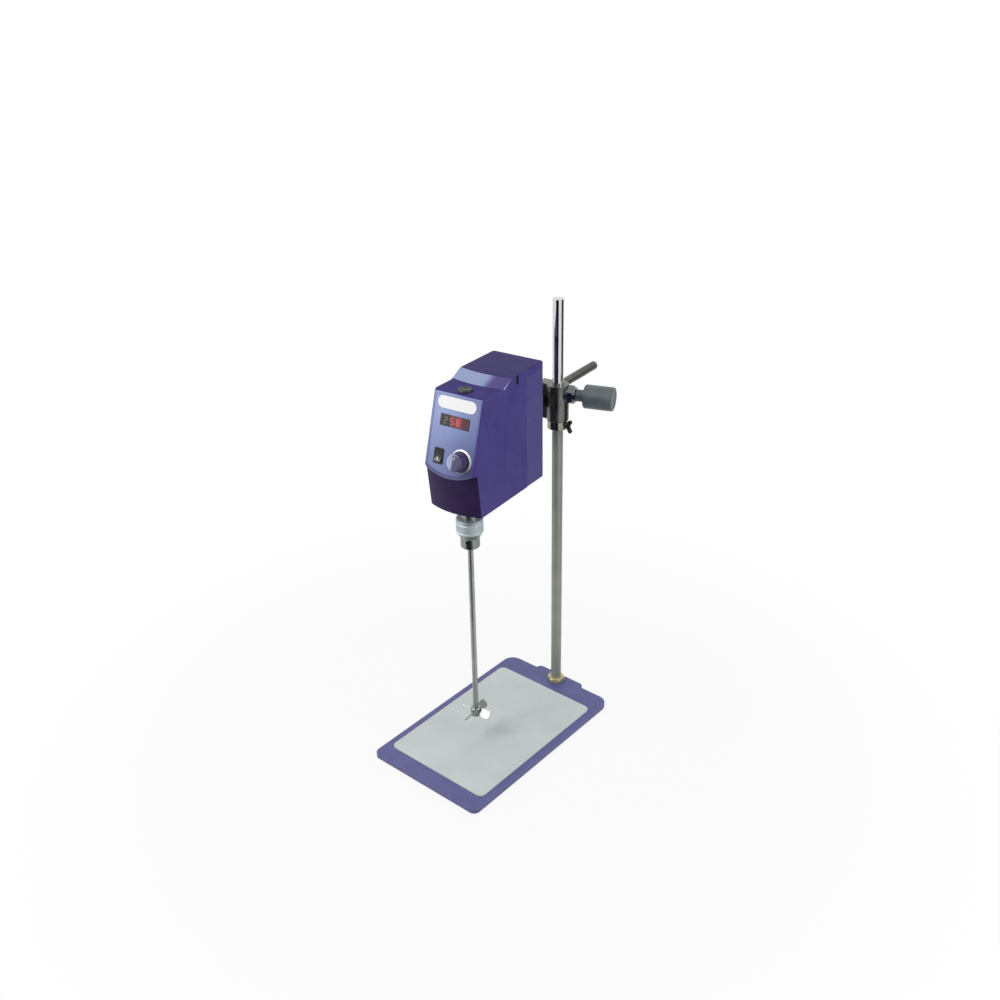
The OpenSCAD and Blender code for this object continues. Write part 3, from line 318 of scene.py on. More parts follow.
def ownPlace(tree):
    return addNode(tree, "ShaderNodeTexCoord").outputs["Object"]


vector, number, tint = "NodeSocketVector", "NodeSocketFloat", "NodeSocketColor"

# cloudy drift between two tones
toneDrift, given, out = newEffect("toneDrift", [
    ("Place", vector, None), ("Tone", tint, (0.5, 0.5, 0.5, 1)), ("Second Tone", tint, (0.4, 0.4, 0.4, 1)),
    ("Size", number, 30.0)], [("Colour", tint)])
g = given.outputs
cloud = noise(toneDrift, g["Place"], g["Size"], Detail=4, Roughness=0.6)
drift = blend(toneDrift, ramp(toneDrift, cloud, 0.35, 0.65), g["Tone"], g["Second Tone"])
toneDrift.links.new(drift, out.inputs["Colour"])

# fine moulded or cast grain, as a height
mouldGrain, given, out = newEffect("mouldGrain", [
    ("Place", vector, None), ("Size", number, 2500.0), ("Orange Peel", number, 0.3)], [("Height", number)])
g = given.outputs
fine = noise(mouldGrain, g["Place"], g["Size"], Detail=3, Roughness=0.55)
wide = noise(mouldGrain, g["Place"], maths(mouldGrain, "MULTIPLY", g["Size"], 0.12), Detail=2)
mouldGrain.links.new(blendNumbers(mouldGrain, g["Orange Peel"], fine, wide), out.inputs["Height"])

# handling marks that change the gloss
glossMarks, given, out = newEffect("glossMarks", [
    ("Place", vector, None), ("Low", number, 0.3), ("High", number, 0.5), ("Size", number, 60.0)],
    [("Roughness", number)])
g = given.outputs
smear = noise(glossMarks, g["Place"], g["Size"], Detail=5, Roughness=0.7, Distortion=0.6)
gloss = ramp(glossMarks, smear, 0.3, 0.7, **{"To Min": g["Low"], "To Max": g["High"]})
glossMarks.links.new(gloss, out.inputs["Roughness"])

# edge tone: lighter in patches where a rounded normal leaves the true one, partly wear and partly painted
# highlight along the edges
rubbedEdge, given, out = newEffect("rubbedEdge", [
    ("Place", vector, None), ("Radius", number, 0.001), ("Amount", number, 0.5)], [("Mask", number)])
g = given.outputs
soft = addNode(rubbedEdge, "ShaderNodeBevel", {"Radius": g["Radius"]}, samples=4).outputs["Normal"]
plain = addNode(rubbedEdge, "ShaderNodeNewGeometry").outputs["Normal"]
likeness = addNode(rubbedEdge, "ShaderNodeVectorMath", {0: soft, 1: plain}, operation="DOT_PRODUCT")
patches = noise(rubbedEdge, g["Place"], 180, Detail=4)
wornAndHighlit = maths(rubbedEdge, "MULTIPLY", ramp(rubbedEdge, likeness.outputs["Value"], 0.985, 0.80),
             ramp(rubbedEdge, patches, 0.35, 0.62))
rubbedEdge.links.new(maths(rubbedEdge, "MULTIPLY", wornAndHighlit, g["Amount"]), out.inputs["Mask"])

# fine lines left by drawing, turning or brushing
drawnLines, given, out = newEffect("drawnLines", [
    ("Place", vector, None), ("Along", vector, (1, 1, 0.02)), ("Size", number, 1500.0)], [("Lines", number)])
g = given.outputs
stretch = addNode(drawnLines, "ShaderNodeVectorMath", {0: g["Place"], 1: g["Along"]}, operation="MULTIPLY")
lines = noise(drawnLines, stretch.outputs["Vector"], g["Size"], Detail=3, Roughness=0.6)
drawnLines.links.new(lines, out.inputs["Lines"])
print("effects ready")


# finishes
def colour(*parts):
    return (*(c / 255 / 12.92 if c <= 10 else ((c / 255 + 0.055) / 1.055) ** 2.4 for c in parts), 1)


def effect(tree, group, values):
    return addNode(tree, "ShaderNodeGroup", values, node_tree=group).outputs[0]


def newMaterial(name):
    material = bpy.data.materials.new(name)
    material.use_nodes = True
    return material, material.node_tree, material.node_tree.nodes["Principled BSDF"]


finishes = {}


# a finish: two tones that drift, a gloss from low to high, then edges lightened by wear and painted
# highlight, and grain or drawn lines
def newFinish(name, tone, secondTone, gloss, **look):
    finishes[name], tree, shader = newMaterial(name)
    place = ownPlace(tree)
    shade = effect(tree, toneDrift, {"Place": place, "Tone": colour(*tone), "Size": look.get("drift", 35),
                                     "Second Tone": colour(*secondTone)})
    # edge colour: wear in patches, and a painted highlight along the edges
    if "rubbed" in look:
        mask = effect(tree, rubbedEdge, {"Place": place, "Radius": look.get("rubRadius", 0.0008),
                                         "Amount": look.get("rubAmount", 0.5)})
        shade = blend(tree, mask, shade, colour(*look["rubbed"]))
    tree.links.new(shade, shader.inputs["Base Color"])
    marks = effect(tree, glossMarks, {"Place": place, "Low": gloss[0], "High": gloss[1], "Size": 60})
    tree.links.new(marks, shader.inputs["Roughness"])
    if "along" in look:
        height = effect(tree, drawnLines, {"Place": place, "Along": look["along"],
                                           "Size": look.get("grain", 1500)})
    else:
        height = effect(tree, mouldGrain, {"Place": place, "Size": look.get("grain", 2500),
                                           "Orange Peel": look.get("peel", 0.3)})
    bump = addNode(tree, "ShaderNodeBump", {"Height": height, "Strength": look.get("bump", 0.1),
                                            "Distance": 0.0004})
    tree.links.new(bump.outputs["Normal"], shader.inputs["Normal"])
    shader.inputs["Metallic"].default_value = look.get("metal", 0)
    shader.inputs["Coat Weight"].default_value = look.get("coat", 0)
    shader.inputs["Coat Roughness"].default_value = look.get("coatRough", 0.1)
    shader.inputs["Specular IOR Level"].default_value = look.get("shine", 0.5)


newFinish("housingPurple", (78, 68, 137), (73, 63, 130), (0.36, 0.46), grain=1800, rubbed=(96, 88, 150),
          rubAmount=0.35, shine=0.15)
newFinish("rearPurple", (86, 82, 140), (81, 77, 134), (0.38, 0.48), grain=1800, rubbed=(96, 92, 150),
          rubAmount=0.3, shine=0.15)
# chin: a darker copy of the housing's purple, painted shade under the lip
newFinish("chinPlum", (52, 36, 80), (46, 32, 70), (0.4, 0.5), grain=1800, shine=0.1)
# top of the raised cover: a darker copy of the housing's purple, painted shade
newFinish("coverPurple", (58, 50, 104), (52, 45, 97), (0.38, 0.48), grain=1800, rubbed=(104, 100, 160),
          rubAmount=0.35, shine=0.05)
# front step: a lighter blue copy of the housing's purple, painted highlight
newFinish("stepBlue", (146, 158, 196), (138, 150, 190), (0.36, 0.46), grain=1800, bump=0.08, shine=0.35)
# bezel: a lighter blue copy of the housing's purple, painted highlight on the sloping face
newFinish("bezelBlue", (150, 162, 208), (142, 154, 201), (0.34, 0.44), grain=1800, bump=0.08,
          rubbed=(150, 160, 215), shine=0.35)
newFinish("panelBlue", (162, 176, 220), (152, 166, 213), (0.28, 0.4), grain=900, bump=0.05, drift=22,
          shine=0.35)
# deck: a darker copy of the housing's purple, painted shade
newFinish("deckPurple", (62, 55, 118), (57, 50, 111), (0.42, 0.52), grain=1800, rubbed=(96, 88, 150),
          rubAmount=0.35, shine=0.05)
newFinish("labelWhite", (252, 252, 253), (247, 247, 249), (0.2, 0.3), bump=0.03)
newFinish("baseViolet", (92, 94, 146), (84, 85, 138), (0.34, 0.5), grain=1600, bump=0.12,
          rubbed=(130, 134, 182), rubAmount=0.6)
newFinish("matGrey", (204, 210, 209), (195, 202, 201), (0.5, 0.65), grain=1200, bump=0.25, drift=14,
          rubbed=(226, 230, 226), rubAmount=0.7)
newFinish("padRubber", (34, 34, 36), (26, 26, 28), (0.7, 0.85), grain=900, bump=0.4)
newFinish("castDark", (120, 120, 118), (96, 96, 95), (0.2, 0.34), grain=700, bump=0.25, peel=0.6, metal=0.9,
          rubbed=(120, 118, 112), rubAmount=0.6)
newFinish("handleGrey", (94, 104, 106), (82, 92, 95), (0.35, 0.5), grain=1500, bump=0.2,
          rubbed=(150, 160, 160), rubAmount=0.6)
newFinish("blackPlastic", (24, 24, 26), (18, 18, 20), (0.25, 0.42), grain=1500, bump=0.12)
newFinish("knobPlum", (62, 54, 92), (54, 47, 82), (0.3, 0.42), grain=1500, rubbed=(110, 104, 150))
newFinish("steel", (172, 176, 172), (156, 161, 157), (0.36, 0.48), metal=1, along=(1, 1, 0.03), grain=1600,
          bump=0.12)
newFinish("darkSteel", (102, 100, 94), (84, 83, 77), (0.3, 0.45), metal=1, along=(1, 0.03, 1), grain=1400,
          bump=0.12)
newFinish("chuckAlloy", (190, 200, 200), (172, 183, 183), (0.42, 0.52), metal=0.55, along=(0.05, 0.05, 1),
          grain=2200, bump=0.15, rubbed=(228, 234, 232))
# knob face: its pale rim is painted highlight
newFinish("knobFace", (84, 78, 112), (74, 68, 100), (0.2, 0.3), grain=2000, bump=0.05,
          rubbed=(190, 192, 224), rubAmount=0.9, rubRadius=0.001)
newFinish("ringSteel", (168, 165, 152), (120, 117, 106), (0.14, 0.24), metal=1, along=(1, 1, 0.1),
          grain=1400)
newFinish("sleeveAlloy", (206, 218, 222), (190, 204, 208), (0.5, 0.6), metal=0.45, grain=1500, bump=0.2,
          rubbed=(226, 236, 238), rubAmount=0.7)
newFinish("noseAlloy", (146, 152, 149), (122, 128, 125), (0.26, 0.38), metal=1, along=(0.05, 0.05, 1),
          grain=2200, bump=0.12, rubbed=(205, 212, 210), rubAmount=0.6)
newFinish("knobSilver", (232, 232, 242), (224, 224, 236), (0.3, 0.4), metal=0.4, grain=2200, bump=0.02)
newFinish("brass", (178, 150, 92), (160, 134, 80), (0.28, 0.42), metal=1)
newFinish("nutYellow", (214, 204, 160), (196, 184, 138), (0.3, 0.45), metal=0.5, bump=0.15,
          rubbed=(226, 216, 180), rubAmount=0.6)
newFinish("frameAlloy", (176, 178, 180), (160, 162, 165), (0.4, 0.55), metal=0.9, grain=700, bump=0.2)
newFinish("boardGreen", (28, 96, 56), (22, 82, 48), (0.3, 0.45), grain=600, bump=0.15)
newFinish("gearPlastic", (224, 214, 184), (214, 203, 172), (0.35, 0.5))
newFinish("ironDark", (140, 146, 150), (118, 123, 128), (0.16, 0.28), metal=1)
newFinish("copperBrown", (150, 98, 62), (120, 76, 48), (0.35, 0.5), metal=0.8, along=(1, 1, 0.1), grain=900,
          bump=0.3)
newFinish("windowSmoke", (40, 40, 44), (32, 32, 36), (0.08, 0.14), bump=0.01, coat=0.6, coatRough=0.04)
newFinish("poleSteel", (214, 216, 214), (206, 208, 206), (0.07, 0.13), metal=1, along=(1, 1, 0.02),
          grain=1800, bump=0.03)

# the pole is bright above the stop ring, dull and handled below it; the change is 2 mm high
dull = {"below": 0.453, "tone": (150, 155, 146), "secondTone": (140, 146, 137), "low": 0.42, "high": 0.55,
        "metal": 0.35}
tree = finishes["poleSteel"].node_tree
sockets = tree.nodes["Principled BSDF"].inputs
place = ownPlace(tree)
height = addNode(tree, "ShaderNodeSeparateXYZ", {"Vector": place}).outputs["Z"]
lower = ramp(tree, height, dull["below"] + 0.001, dull["below"] - 0.001)
dullTone = effect(tree, toneDrift, {"Place": place, "Tone": colour(*dull["tone"]), "Size": 25,
                                    "Second Tone": colour(*dull["secondTone"])})
dullRough = effect(tree, glossMarks, {"Place": place, "Low": dull["low"], "High": dull["high"], "Size": 40})
brightTone, brightRough = (sockets[key].links[0].from_socket for key in ("Base Color", "Roughness"))
tree.links.new(blend(tree, lower, brightTone, dullTone), sockets["Base Color"])
tree.links.new(blendNumbers(tree, lower, brightRough, dullRough), sockets["Roughness"])
tree.links.new(ramp(tree, lower, 0, 1, **{"To Min": 1, "To Max": dull["metal"]}), sockets["Metallic"])


# painted light and shade: a second tone that comes in between two places along an axis of the piece, in
# metres
def paintedLightFade(name, tone, *ways):
    tree = finishes[name].node_tree
    socket = tree.nodes["Principled BSDF"].inputs["Base Color"]
    oldTone = socket.links[0].from_socket
    split = addNode(tree, "ShaderNodeSeparateXYZ", {"Vector": ownPlace(tree)})
    share = 0
    for axis, start, end, weight in ways:
        way = ramp(tree, split.outputs[axis], start, end, smooth=True, **{"To Max": weight})
        share = maths(tree, "ADD", share, way)
    tree.links.new(blend(tree, share, oldTone, colour(*tone)), socket)


# painted shade: panel and bezel darker towards the right and the bottom, the bezel's lip darker still
for name in ("panelBlue", "bezelBlue"):
    paintedLightFade(name, (84, 92, 146), ("X", -0.035, 0.032, 0.5), ("Z", 0.552, 0.466, 0.5))
paintedLightFade("bezelBlue", (92, 86, 126), ("Z", 0.473, 0.467, 0.8))
# painted highlight: the knob face pale on its left part
paintedLightFade("knobFace", (180, 182, 216), ("X", 0.014, 0.0095, 1))
# painted shade: the skirt's bright ring darker on its lower part
paintedLightFade("knobSilver", (84, 78, 116), ("Z", 0.482, 0.472, 0.8))
# painted shade: the step purple towards its right, then a painted highlight line at its right end
paintedLightFade("stepBlue", (76, 66, 128), ("X", -0.006, 0.008, 1))
paintedLightFade("stepBlue", (172, 176, 214), ("X", 0.0275, 0.0285, 1))
# painted glow: the smoked window tinted red around the lit digits, dark again at the right
paintedLightFade("windowSmoke", (128, 46, 54), ("X", -0.0145, -0.011, 0.8))
paintedLightFade("windowSmoke", (40, 22, 34), ("X", 0.0035, 0.0065, 0.9))


def litFinish(name, glow, strength, base):
    finishes[name], tree, shader = newMaterial(name)
    place = ownPlace(tree)
    for socket, tone, size, share in (("Emission Color", glow, 500, 0.86), ("Base Color", base, 300, 0.8)):
        flicker = effect(tree, toneDrift, {"Place": place, "Tone": colour(*tone), "Size": size,
                                           "Second Tone": colour(*[part * share for part in tone])})
        tree.links.new(flicker, shader.inputs[socket])
    shader.inputs["Emission Strength"].default_value = strength
    shader.inputs["Roughness"].default_value = 0.3


litFinish("digitRed", (255, 120, 122), 0.75, (120, 20, 18))
# the grey digit is unlit; its faint glow is painted light
litFinish("digitGrey", (128, 128, 118), 0.3, (120, 118, 110))
litFinish("digitDim", (150, 40, 46), 0.5, (90, 20, 24))
# the rocker's on mark: printed, and made to glow a little as painted highlight
litFinish("markPale", (226, 222, 190), 0.35, (222, 218, 188))
print("finishes ready:", len(finishes))

# base plate: rounded slab with a bevelled top edge and a tongue behind the pole
base = {"width": 200, "depth": 320, "low": 2, "top": 9, "frontCorner": 10, "backCorner": 18, "bevel": 2,
        "tongue": 90, "tongueOut": 8, "tongueLength": 40, "screwHole": 4.3, "headHole": 6.8}
thick, middleHeight = base["top"] - base["low"], (base["top"] + base["low"]) / 2
slab = block("basePlate", (base["width"], base["depth"], thick), (0, 0, middleHeight))
roundEdges(slab, base["frontCorner"], 6, lambda middle, way: abs(way.z) > 0.9 and middle.y < 0)
roundEdges(slab, base["backCorner"], 8,
           lambda middle, way: abs(way.z) > 0.9 and middle.y > 150 and abs(middle.x) > 95)
tongueMiddle = (0, (base["depth"] - base["tongueLength"]) / 2 + base["tongueOut"], middleHeight)
tongue = block("tongue", (base["tongue"], base["tongueLength"], thick), tongueMiddle)
roundEdges(tongue, base["tongueOut"], 6)
fuse(slab, tongue)
roundEdges(slab, base["bevel"], 3, lambda middle, way: abs(way.z) < 0.1 and middle.z > base["top"] - 0.1)
roundEdges(slab, 0.5, 2, lambda middle, way: abs(way.z) < 0.1 and middle.z < base["low"] + 0.1)
poleX, poleY = places["pole"]
cutAway(slab, roundBar("hole", base["screwHole"], 12, (poleX, poleY, 6)),
        roundBar("hole", base["headHole"], 6, (poleX, poleY, 3)))
finishPiece(slab, benchPlace, "stand", "purple_paint", "baseViolet", "base_plate")

# mat: a raised rim round a slightly sunk field
mat = {"width": 178, "depth": 258, "thick": 2, "corner": 9, "middle": -5, "rim": 2.6, "sunk": 0.5}
field = plate("baseMat", mat["width"], mat["depth"], mat["thick"], mat["corner"],
              (0, mat["middle"], base["top"]), 6)
selectTop(field)
bpy.ops.mesh.inset(thickness=mat["rim"])
bpy.ops.mesh.inset(thickness=0.5, depth=-mat["sunk"])
clearSelection()
halfWide, halfDeep, corner = mat["width"] / 2, mat["depth"] / 2, mat["corner"]


def onMatRim(middle, way):
    x, y = abs(middle.x), abs(middle.y - mat["middle"])
    onSide = x > halfWide - 0.5 or y > halfDeep - 0.5
    acrossCorner, upCorner = x - halfWide + corner, y - halfDeep + corner
    onCorner = min(acrossCorner, upCorner) > 0 and math.hypot(acrossCorner, upCorner) > corner - 0.3
    return middle.z > base["top"] + mat["thick"] - 0.01 and abs(way.z) < 0.1 and (onSide or onCorner)


roundEdges(field, 0.6, 2, onMatRim)
finishPiece(field, benchPlace, "stand", "mat_grey", "matGrey", "base_mat")

# nut at the pole's foot
nut = {"flats": 24, "height": 7, "bore": 8.05}
cornerRadius = nut["flats"] / 2 / math.cos(math.pi / 6)
foot = roundBar("poleFootNut", cornerRadius, nut["height"], (0, 0, nut["height"] / 2), "Z", 6)
chamferBody = turned("chamferBody", [
    (11.6, -0.1), (13.2, 0.9), (14.2, 3), (14.2, 4.6), (13.2, 6.1), (11.6, 7.1)])
keepInside(foot, chamferBody)
cutAway(foot, roundBar("bore", nut["bore"], 20, (0, 0, 3)))
softenEdges(foot, 0.3, 2, 25)
finishPiece(foot, benchPlace @ shift(poleX, poleY, base["top"]), "stand", "brass", "nutYellow",
            "pole_foot_nut", sharp=24)
print("base made")

# front shell: bowed chin under a proud sloping bezel with a hanging lip
shell = {"width": 83, "split": 122, "top": 162, "edge": 9, "proud": 2.0, "lipDrop": 12, "chinFoot": 4.5,
         "chinTop": -2.5, "chinBow": 8.5, "wall": 2.5, "slot": (98, 5), "deckEnd": 66, "depth": 166}
side = shell["width"] / 2
lipRadius = (side ** 2 + shell["lipDrop"] ** 2) / (2 * shell["lipDrop"])
lipCentre = lipRadius - shell["lipDrop"]
tilt = math.radians(panelTilt)
slopeWay = Vector((0, -math.cos(tilt), math.sin(tilt)))
bezelPoint = Vector((0, 0, places["lipHeight"])) + slopeWay * shell["proud"]
upper = block("frontShell", (shell["width"], shell["split"] + 14, shell["top"]),
              (0, shell["split"] / 2 - 7, shell["top"] / 2))
sliceOff(upper, bezelPoint, slopeWay)
sliceOff(upper, (0, shell["deckEnd"], 0), (0, 1, 0), keepBoth=True)


def onSlope(middle):
    return abs((middle - bezelPoint).dot(slopeWay)) < 0.05


roundEdges(upper, shell["edge"], 7, lambda middle, way: onSlope(middle) and abs(abs(middle.x) - side) < 0.1)
roundEdges(upper, 2.4, 4, lambda middle, way: middle.z > shell["top"] - 0.1
           and middle.y < shell["deckEnd"] and (abs(way.y) < 0.98 or abs(middle.x) > side - 0.1))
# the chin's form, a hair wider than the shell, is what stays below the lip
chin = block("chin", (shell["width"] + 0.02, 80, 120), (0, 36, 40))
bowRadius = (side ** 2 + shell["chinBow"] ** 2) / (2 * shell["chinBow"])
chinLean = math.degrees(math.atan2(shell["chinFoot"] - shell["chinTop"], 62))
bow = moved(roundBar("chinBow", bowRadius, 400, (0, 0, 0), "Z", 360),
            shift(0, (shell["chinFoot"] + shell["chinTop"]) / 2 + bowRadius, 31) @ turn(chinLean, "X"))
keepInside(chin, bow)
roundEdges(chin, shell["edge"] - 1, 6, lambda middle, way: abs(abs(middle.x) - side) < 0.1 and middle.y < 20
           and abs(way.z) > 0.9)
hanging = block("belowLip", (130, 50, 90), (0, 5, 40))
arc = moved(roundBar("lipArc", lipRadius, 80, (0, lipCentre, 0), "Z", 256), panelInHead)
cutAway(hanging, chin, arc)
cutAway(upper, hanging)
roundEdges(upper, 1.5, 3, lambda middle, way: middle.z < 0.05 and abs(way.z) < 0.1
           and middle.y < shell["split"] - 0.1)
inner = block("inside", (shell["width"] - 2 * shell["wall"], 140, 157), (0, 70, 81))
sliceOff(inner, (0, 7, 66), Vector((0, -90.5, 24.1)).normalized())
sliceOff(inner, (0, 7, 66), Vector((0, -66, -8)).normalized())
window = moved(block("panelOpening", (62, 89, 30), (0, 48.5, 0)), panelInHead)
pocket = plate("panelPocket", 70.6, 93.6, 6, 4.2, (0, panelLength / 2, 0))
bottomPocket = keepInside(block("pocketFoot", (70.6, 60, 6), (0, 10, 3)),
                          roundBar("pocketArc", lipRadius - 3.7, 30, (0, lipCentre, 0), "Z", 192))
fuse(pocket, bottomPocket)
moved(pocket, panelInHead)
cutAway(upper, inner, window, pocket)
cutAway(upper, roundBar("spindleHole", 15, 8, (0, places["spindleBack"], 0)),
        roundBar("plugHole", 7.3, 8, (0, places["spindleBack"], shell["top"] - 1)))
for x in (-26, 26):
    for y in (32, 112):
        cutAway(upper, roundBar("screwHole", 1.8, 8, (x, y, 0), "Z", 24))
slot = block("sideSlot", (2.4, shell["slot"][1], 12.5), (side, shell["slot"][0] + 2.5, 165.2))
roundEdges(slot, 2.2, 4, lambda middle, way: abs(way.x) > 0.9)
slotTwin = twin(slot, "coverSlot")
cutAway(upper, slot)
finishPiece(upper, headPlace, "head", "purple_plastic",
            "housingPurple bezelBlue chinPlum deckPurple blackPlastic", "front_shell", sharp=30)


# faces inside the side slot, which take black as painted shade
def inSlot(middle, facing):
    front, wide = shell["slot"]
    inDepth = side - 1.4 < middle.x < side - 0.2 and facing.x > 0.9
    return inDepth and front - 0.5 < middle.y < front + wide + 0.5


# the shell's finishes in their order: side; bezel, lighter blue as painted highlight; chin, darker as painted
# shade; deck, darker as painted shade; slot, black inside as painted shade
def shellFinish(middle, facing):
    if facing.dot(slopeWay) > 0.93 and middle.y < 40:
        return 1
    if facing.y < -0.75 and middle.z < 67 and middle.y < 20:
        return 2
    if facing.z > 0.85 and middle.z > 155:
        return 3
    return 4 if inSlot(middle, facing) else 0


paintFaces(upper, headPlace, shellFinish)
print("front shell made")

# rear cover with its joint line, the flange's screw holes and the inlet's opening
rear = {"corner": 5, "seam": 0.5, "inletWide": 27, "inletHigh": 21, "inletUp": 32}
split, depth = shell["split"], shell["depth"]
cover = block("rearCover", (shell["width"], depth - split, shell["top"]),
              (0, (split + depth) / 2, shell["top"] / 2))
roundEdges(cover, rear["corner"], 5, lambda middle, way: abs(way.z) > 0.9 and middle.y > depth - 6)
roundEdges(cover, 1.5, 3, lambda middle, way: middle.z < 0.05 and middle.y > split + 0.1)
roundEdges(cover, rear["seam"], 2, lambda middle, way: middle.y < split + 0.05)
hollow = plate("hollow", 78, 41.6, 157, 2.5, (0, 142.7, 2.5))
cutAway(cover, hollow)
for x in (-19, 19):
    for z in (77, 107):
        cutAway(cover, roundBar("screwHole", 2.8, 12, (x, depth - 1, z), "Y", 32))
inletHole = block("inletHole", (rear["inletWide"], 12, rear["inletHigh"]), (0, depth - 1, rear["inletUp"]))
cutAway(cover, inletHole)
lap = block("lap", (77.4, 8, 156.4), (0, 121.6, 81))
cutAway(lap, block("lapInside", (75, 20, 154), (0, 121.6, 81)), block("lapFoot", (69, 20, 20), (0, 121.6, 0)))
fuse(cover, lap)
finishPiece(cover, headPlace, "head", "purple_plastic", "rearPurple", "rear_cover", sharp=30)

# raised top cover whose front leans back and bows forward
top = {"high": 10, "front": 70, "bow": 5, "lean": 19, "edge": 1.6, "corner": 5}
lid = block("topCover", (shell["width"], 106, top["high"]), (0, depth - 53, shell["top"] + top["high"] / 2))
roundEdges(lid, top["corner"], 5, lambda middle, way: abs(way.z) > 0.9 and middle.y > depth - 6)
lidRadius = (side ** 2 + top["bow"] ** 2) / (2 * top["bow"])
clearSelection()
bpy.ops.mesh.primitive_cone_add(vertices=360, radius1=lidRadius + top["lean"] * 0.5,
                                radius2=lidRadius - top["lean"] * 1.5, depth=20,
                                location=(0, top["front"] - top["bow"] + lidRadius, shell["top"] + 5))
keepInside(lid, settle(bpy.context.object))
roundEdges(lid, top["edge"], 3, lambda middle, way: middle.z > shell["top"] + top["high"] - 0.05)
lidHollow = block("lidHollow", (78, 70, 9), (0, 128.5, 165))
cutAway(lid, lidHollow, slotTwin)
finishPiece(lid, headPlace, "head", "purple_plastic", "coverPurple stepBlue housingPurple blackPlastic",
            "top_cover", sharp=30)


# the cover's finishes in their order: top, darker as painted shade; front step, lighter blue as painted
# highlight; sides; slot, black inside as painted shade
def coverFinish(middle, facing):
    if facing.y < -0.2 and facing.z < 0.95 and middle.y < 95:
        return 1
    if inSlot(middle, facing):
        return 3
    return 2 if abs(facing.x) > 0.7 else 0


paintFaces(lid, headPlace, coverFinish)
print("covers made")

# front panel with its openings, set just below the bezel's rim
panel = {"width": 70, "thick": 1.5, "corner": 4, "windowWide": 46.6, "windowHigh": 15.6,
         "windowUp": panelLength - 34}
sheet = plate("frontPanel", panel["width"], panelLength - 4, panel["thick"], panel["corner"],
              (0, panelLength / 2, 0))
footArc = keepInside(block("panelFoot", (panel["width"], 60, panel["thick"]), (0, 10, panel["thick"] / 2)),
                     roundBar("panelArc", lipRadius - 4, 30, (0, lipCentre, 0), "Z", 192))
fuse(sheet, footArc)
cutAway(sheet, block("windowHole", (panel["windowWide"], panel["windowHigh"], 9), (0, panel["windowUp"], 0)),
        block("switchHole", (13, 19, 9), (*places["switchAt"], 0)),
        roundBar("shaftHole", 4, 9, (*places["knobAt"], 0)))
finishPiece(sheet, panelPlace, "head", "panel_blue", "panelBlue", "front_panel", sharp=30)

# bare label plate with full round ends and a fine raised border
label = {"width": 60, "height": 16, "thick": 0.6, "up": panelLength - 11}
badge = plate("labelPlate", label["width"], label["height"], label["thick"], 7.5,
              (0, label["up"], panel["thick"]), 9)
selectTop(badge)
bpy.ops.mesh.inset(thickness=0.7)
bpy.ops.mesh.inset(thickness=0.25, depth=-0.15)
clearSelection()
finishPiece(badge, panelPlace, "head", "white_plastic", "labelWhite", "label_plate", sharp=40)

# smoked display window and its four digits
display = {"width": 46, "height": 15, "thick": 1.8, "up": panel["windowUp"], "digitWide": 5.6,
           "digitHigh": 9.4, "bar": 1.25, "step": 9.6, "shown": "2580", "lit": ("Grey", "Red", "Red", "Dim")}
glass = plate("displayWindow", display["width"], display["height"], display["thick"], 1,
              (0, display["up"], 0), 4, 0.3)
finishPiece(glass, panelPlace, "head", "window_dark", "windowSmoke", "display_window", sharp=40)
segmentPlaces = {"a": (0, 1, 0), "b": (1, 0.5, 1), "c": (1, -0.5, 1), "d": (0, -1, 0), "e": (-1, -0.5, 1),
                 "f": (-1, 0.5, 1), "g": (0, 0, 0)}
digitSegments = {"0": "abcdef", "2": "abged", "5": "afgcd", "8": "abcdefg"}
segment = block("segment", (display["digitWide"] - 1.6, display["bar"], 0.12), (0, 0, 0.06))
roundEdges(segment, display["bar"] * 0.49, 1)
bars = {"Red": [], "Grey": [], "Dim": []}
for index, digit in enumerate(display["shown"]):
    centreX = (index - 1.5) * display["step"]
    for key in digitSegments[digit]:
        acrossPart, upPart, upright = segmentPlaces[key]
        spot = shift(centreX + acrossPart * (display["digitWide"] - display["bar"]) / 2,
                     display["up"] + upPart * (display["digitHigh"] - display["bar"]) / 2, display["thick"])
        bars[display["lit"][index]].append(twin(segment, "bar", spot @ turn(90 if upright else 0, "Z")))
bpy.data.objects.remove(segment)
for key, pieces in bars.items():
    finishPiece(joined(key.lower() + "Digits", pieces), panelPlace, "head", "window_dark", "digit" + key)

# rocker switch: rim, dished rocker and its plain on mark, which glows a little as painted highlight
switch = {"width": 15, "height": 21, "rim": 1.2, "rockerWide": 10.4, "rockerHigh": 15.8, "dish": 1.1,
          "dishRadius": 30}
surround = plate("switchSurround", switch["width"], switch["height"], switch["rim"], 1.5,
                 (0, 0, panel["thick"]), 4, 0.4)
fuse(surround, block("switchBox", (12.9, 18.9, 13.8), (0, 0, -5.1)))
cutAway(surround, block("switchWell", (11, 17, 20), (0, 0, 5)))
switchPlace = panelPlace @ shift(*places["switchAt"], 0)
finishPiece(surround, switchPlace, "head", "black_plastic", "blackPlastic", "switch_body", sharp=40)
key = block("rocker", (switch["rockerWide"], switch["rockerHigh"], 4.1), (0, 0, 0.55))
fuse(key, roundBar("pivot", 2.5, switch["rockerWide"], (0, 0, 0), "X", 48))
dishHeight = 2.6 + switch["dishRadius"] - switch["dish"]
cutAway(key, roundBar("dish", switch["dishRadius"], 20, (0, 0, dishHeight), "X", 256))
softenEdges(key, 0.45, 3, 40)
rockerPlace = switchPlace @ shift(0, 0, panel["thick"]) @ turn(-7, "X")
finishPiece(key, rockerPlace, "rocker", "black_plastic", "blackPlastic", "rocker", sharp=35)
mark = plate("rockerMark", 2.0, 4.6, 0.25, 0.9, (0, -4.2, 1.98), 4)
finishPiece(mark, rockerPlace, "rocker", "white_plastic", "markPale")

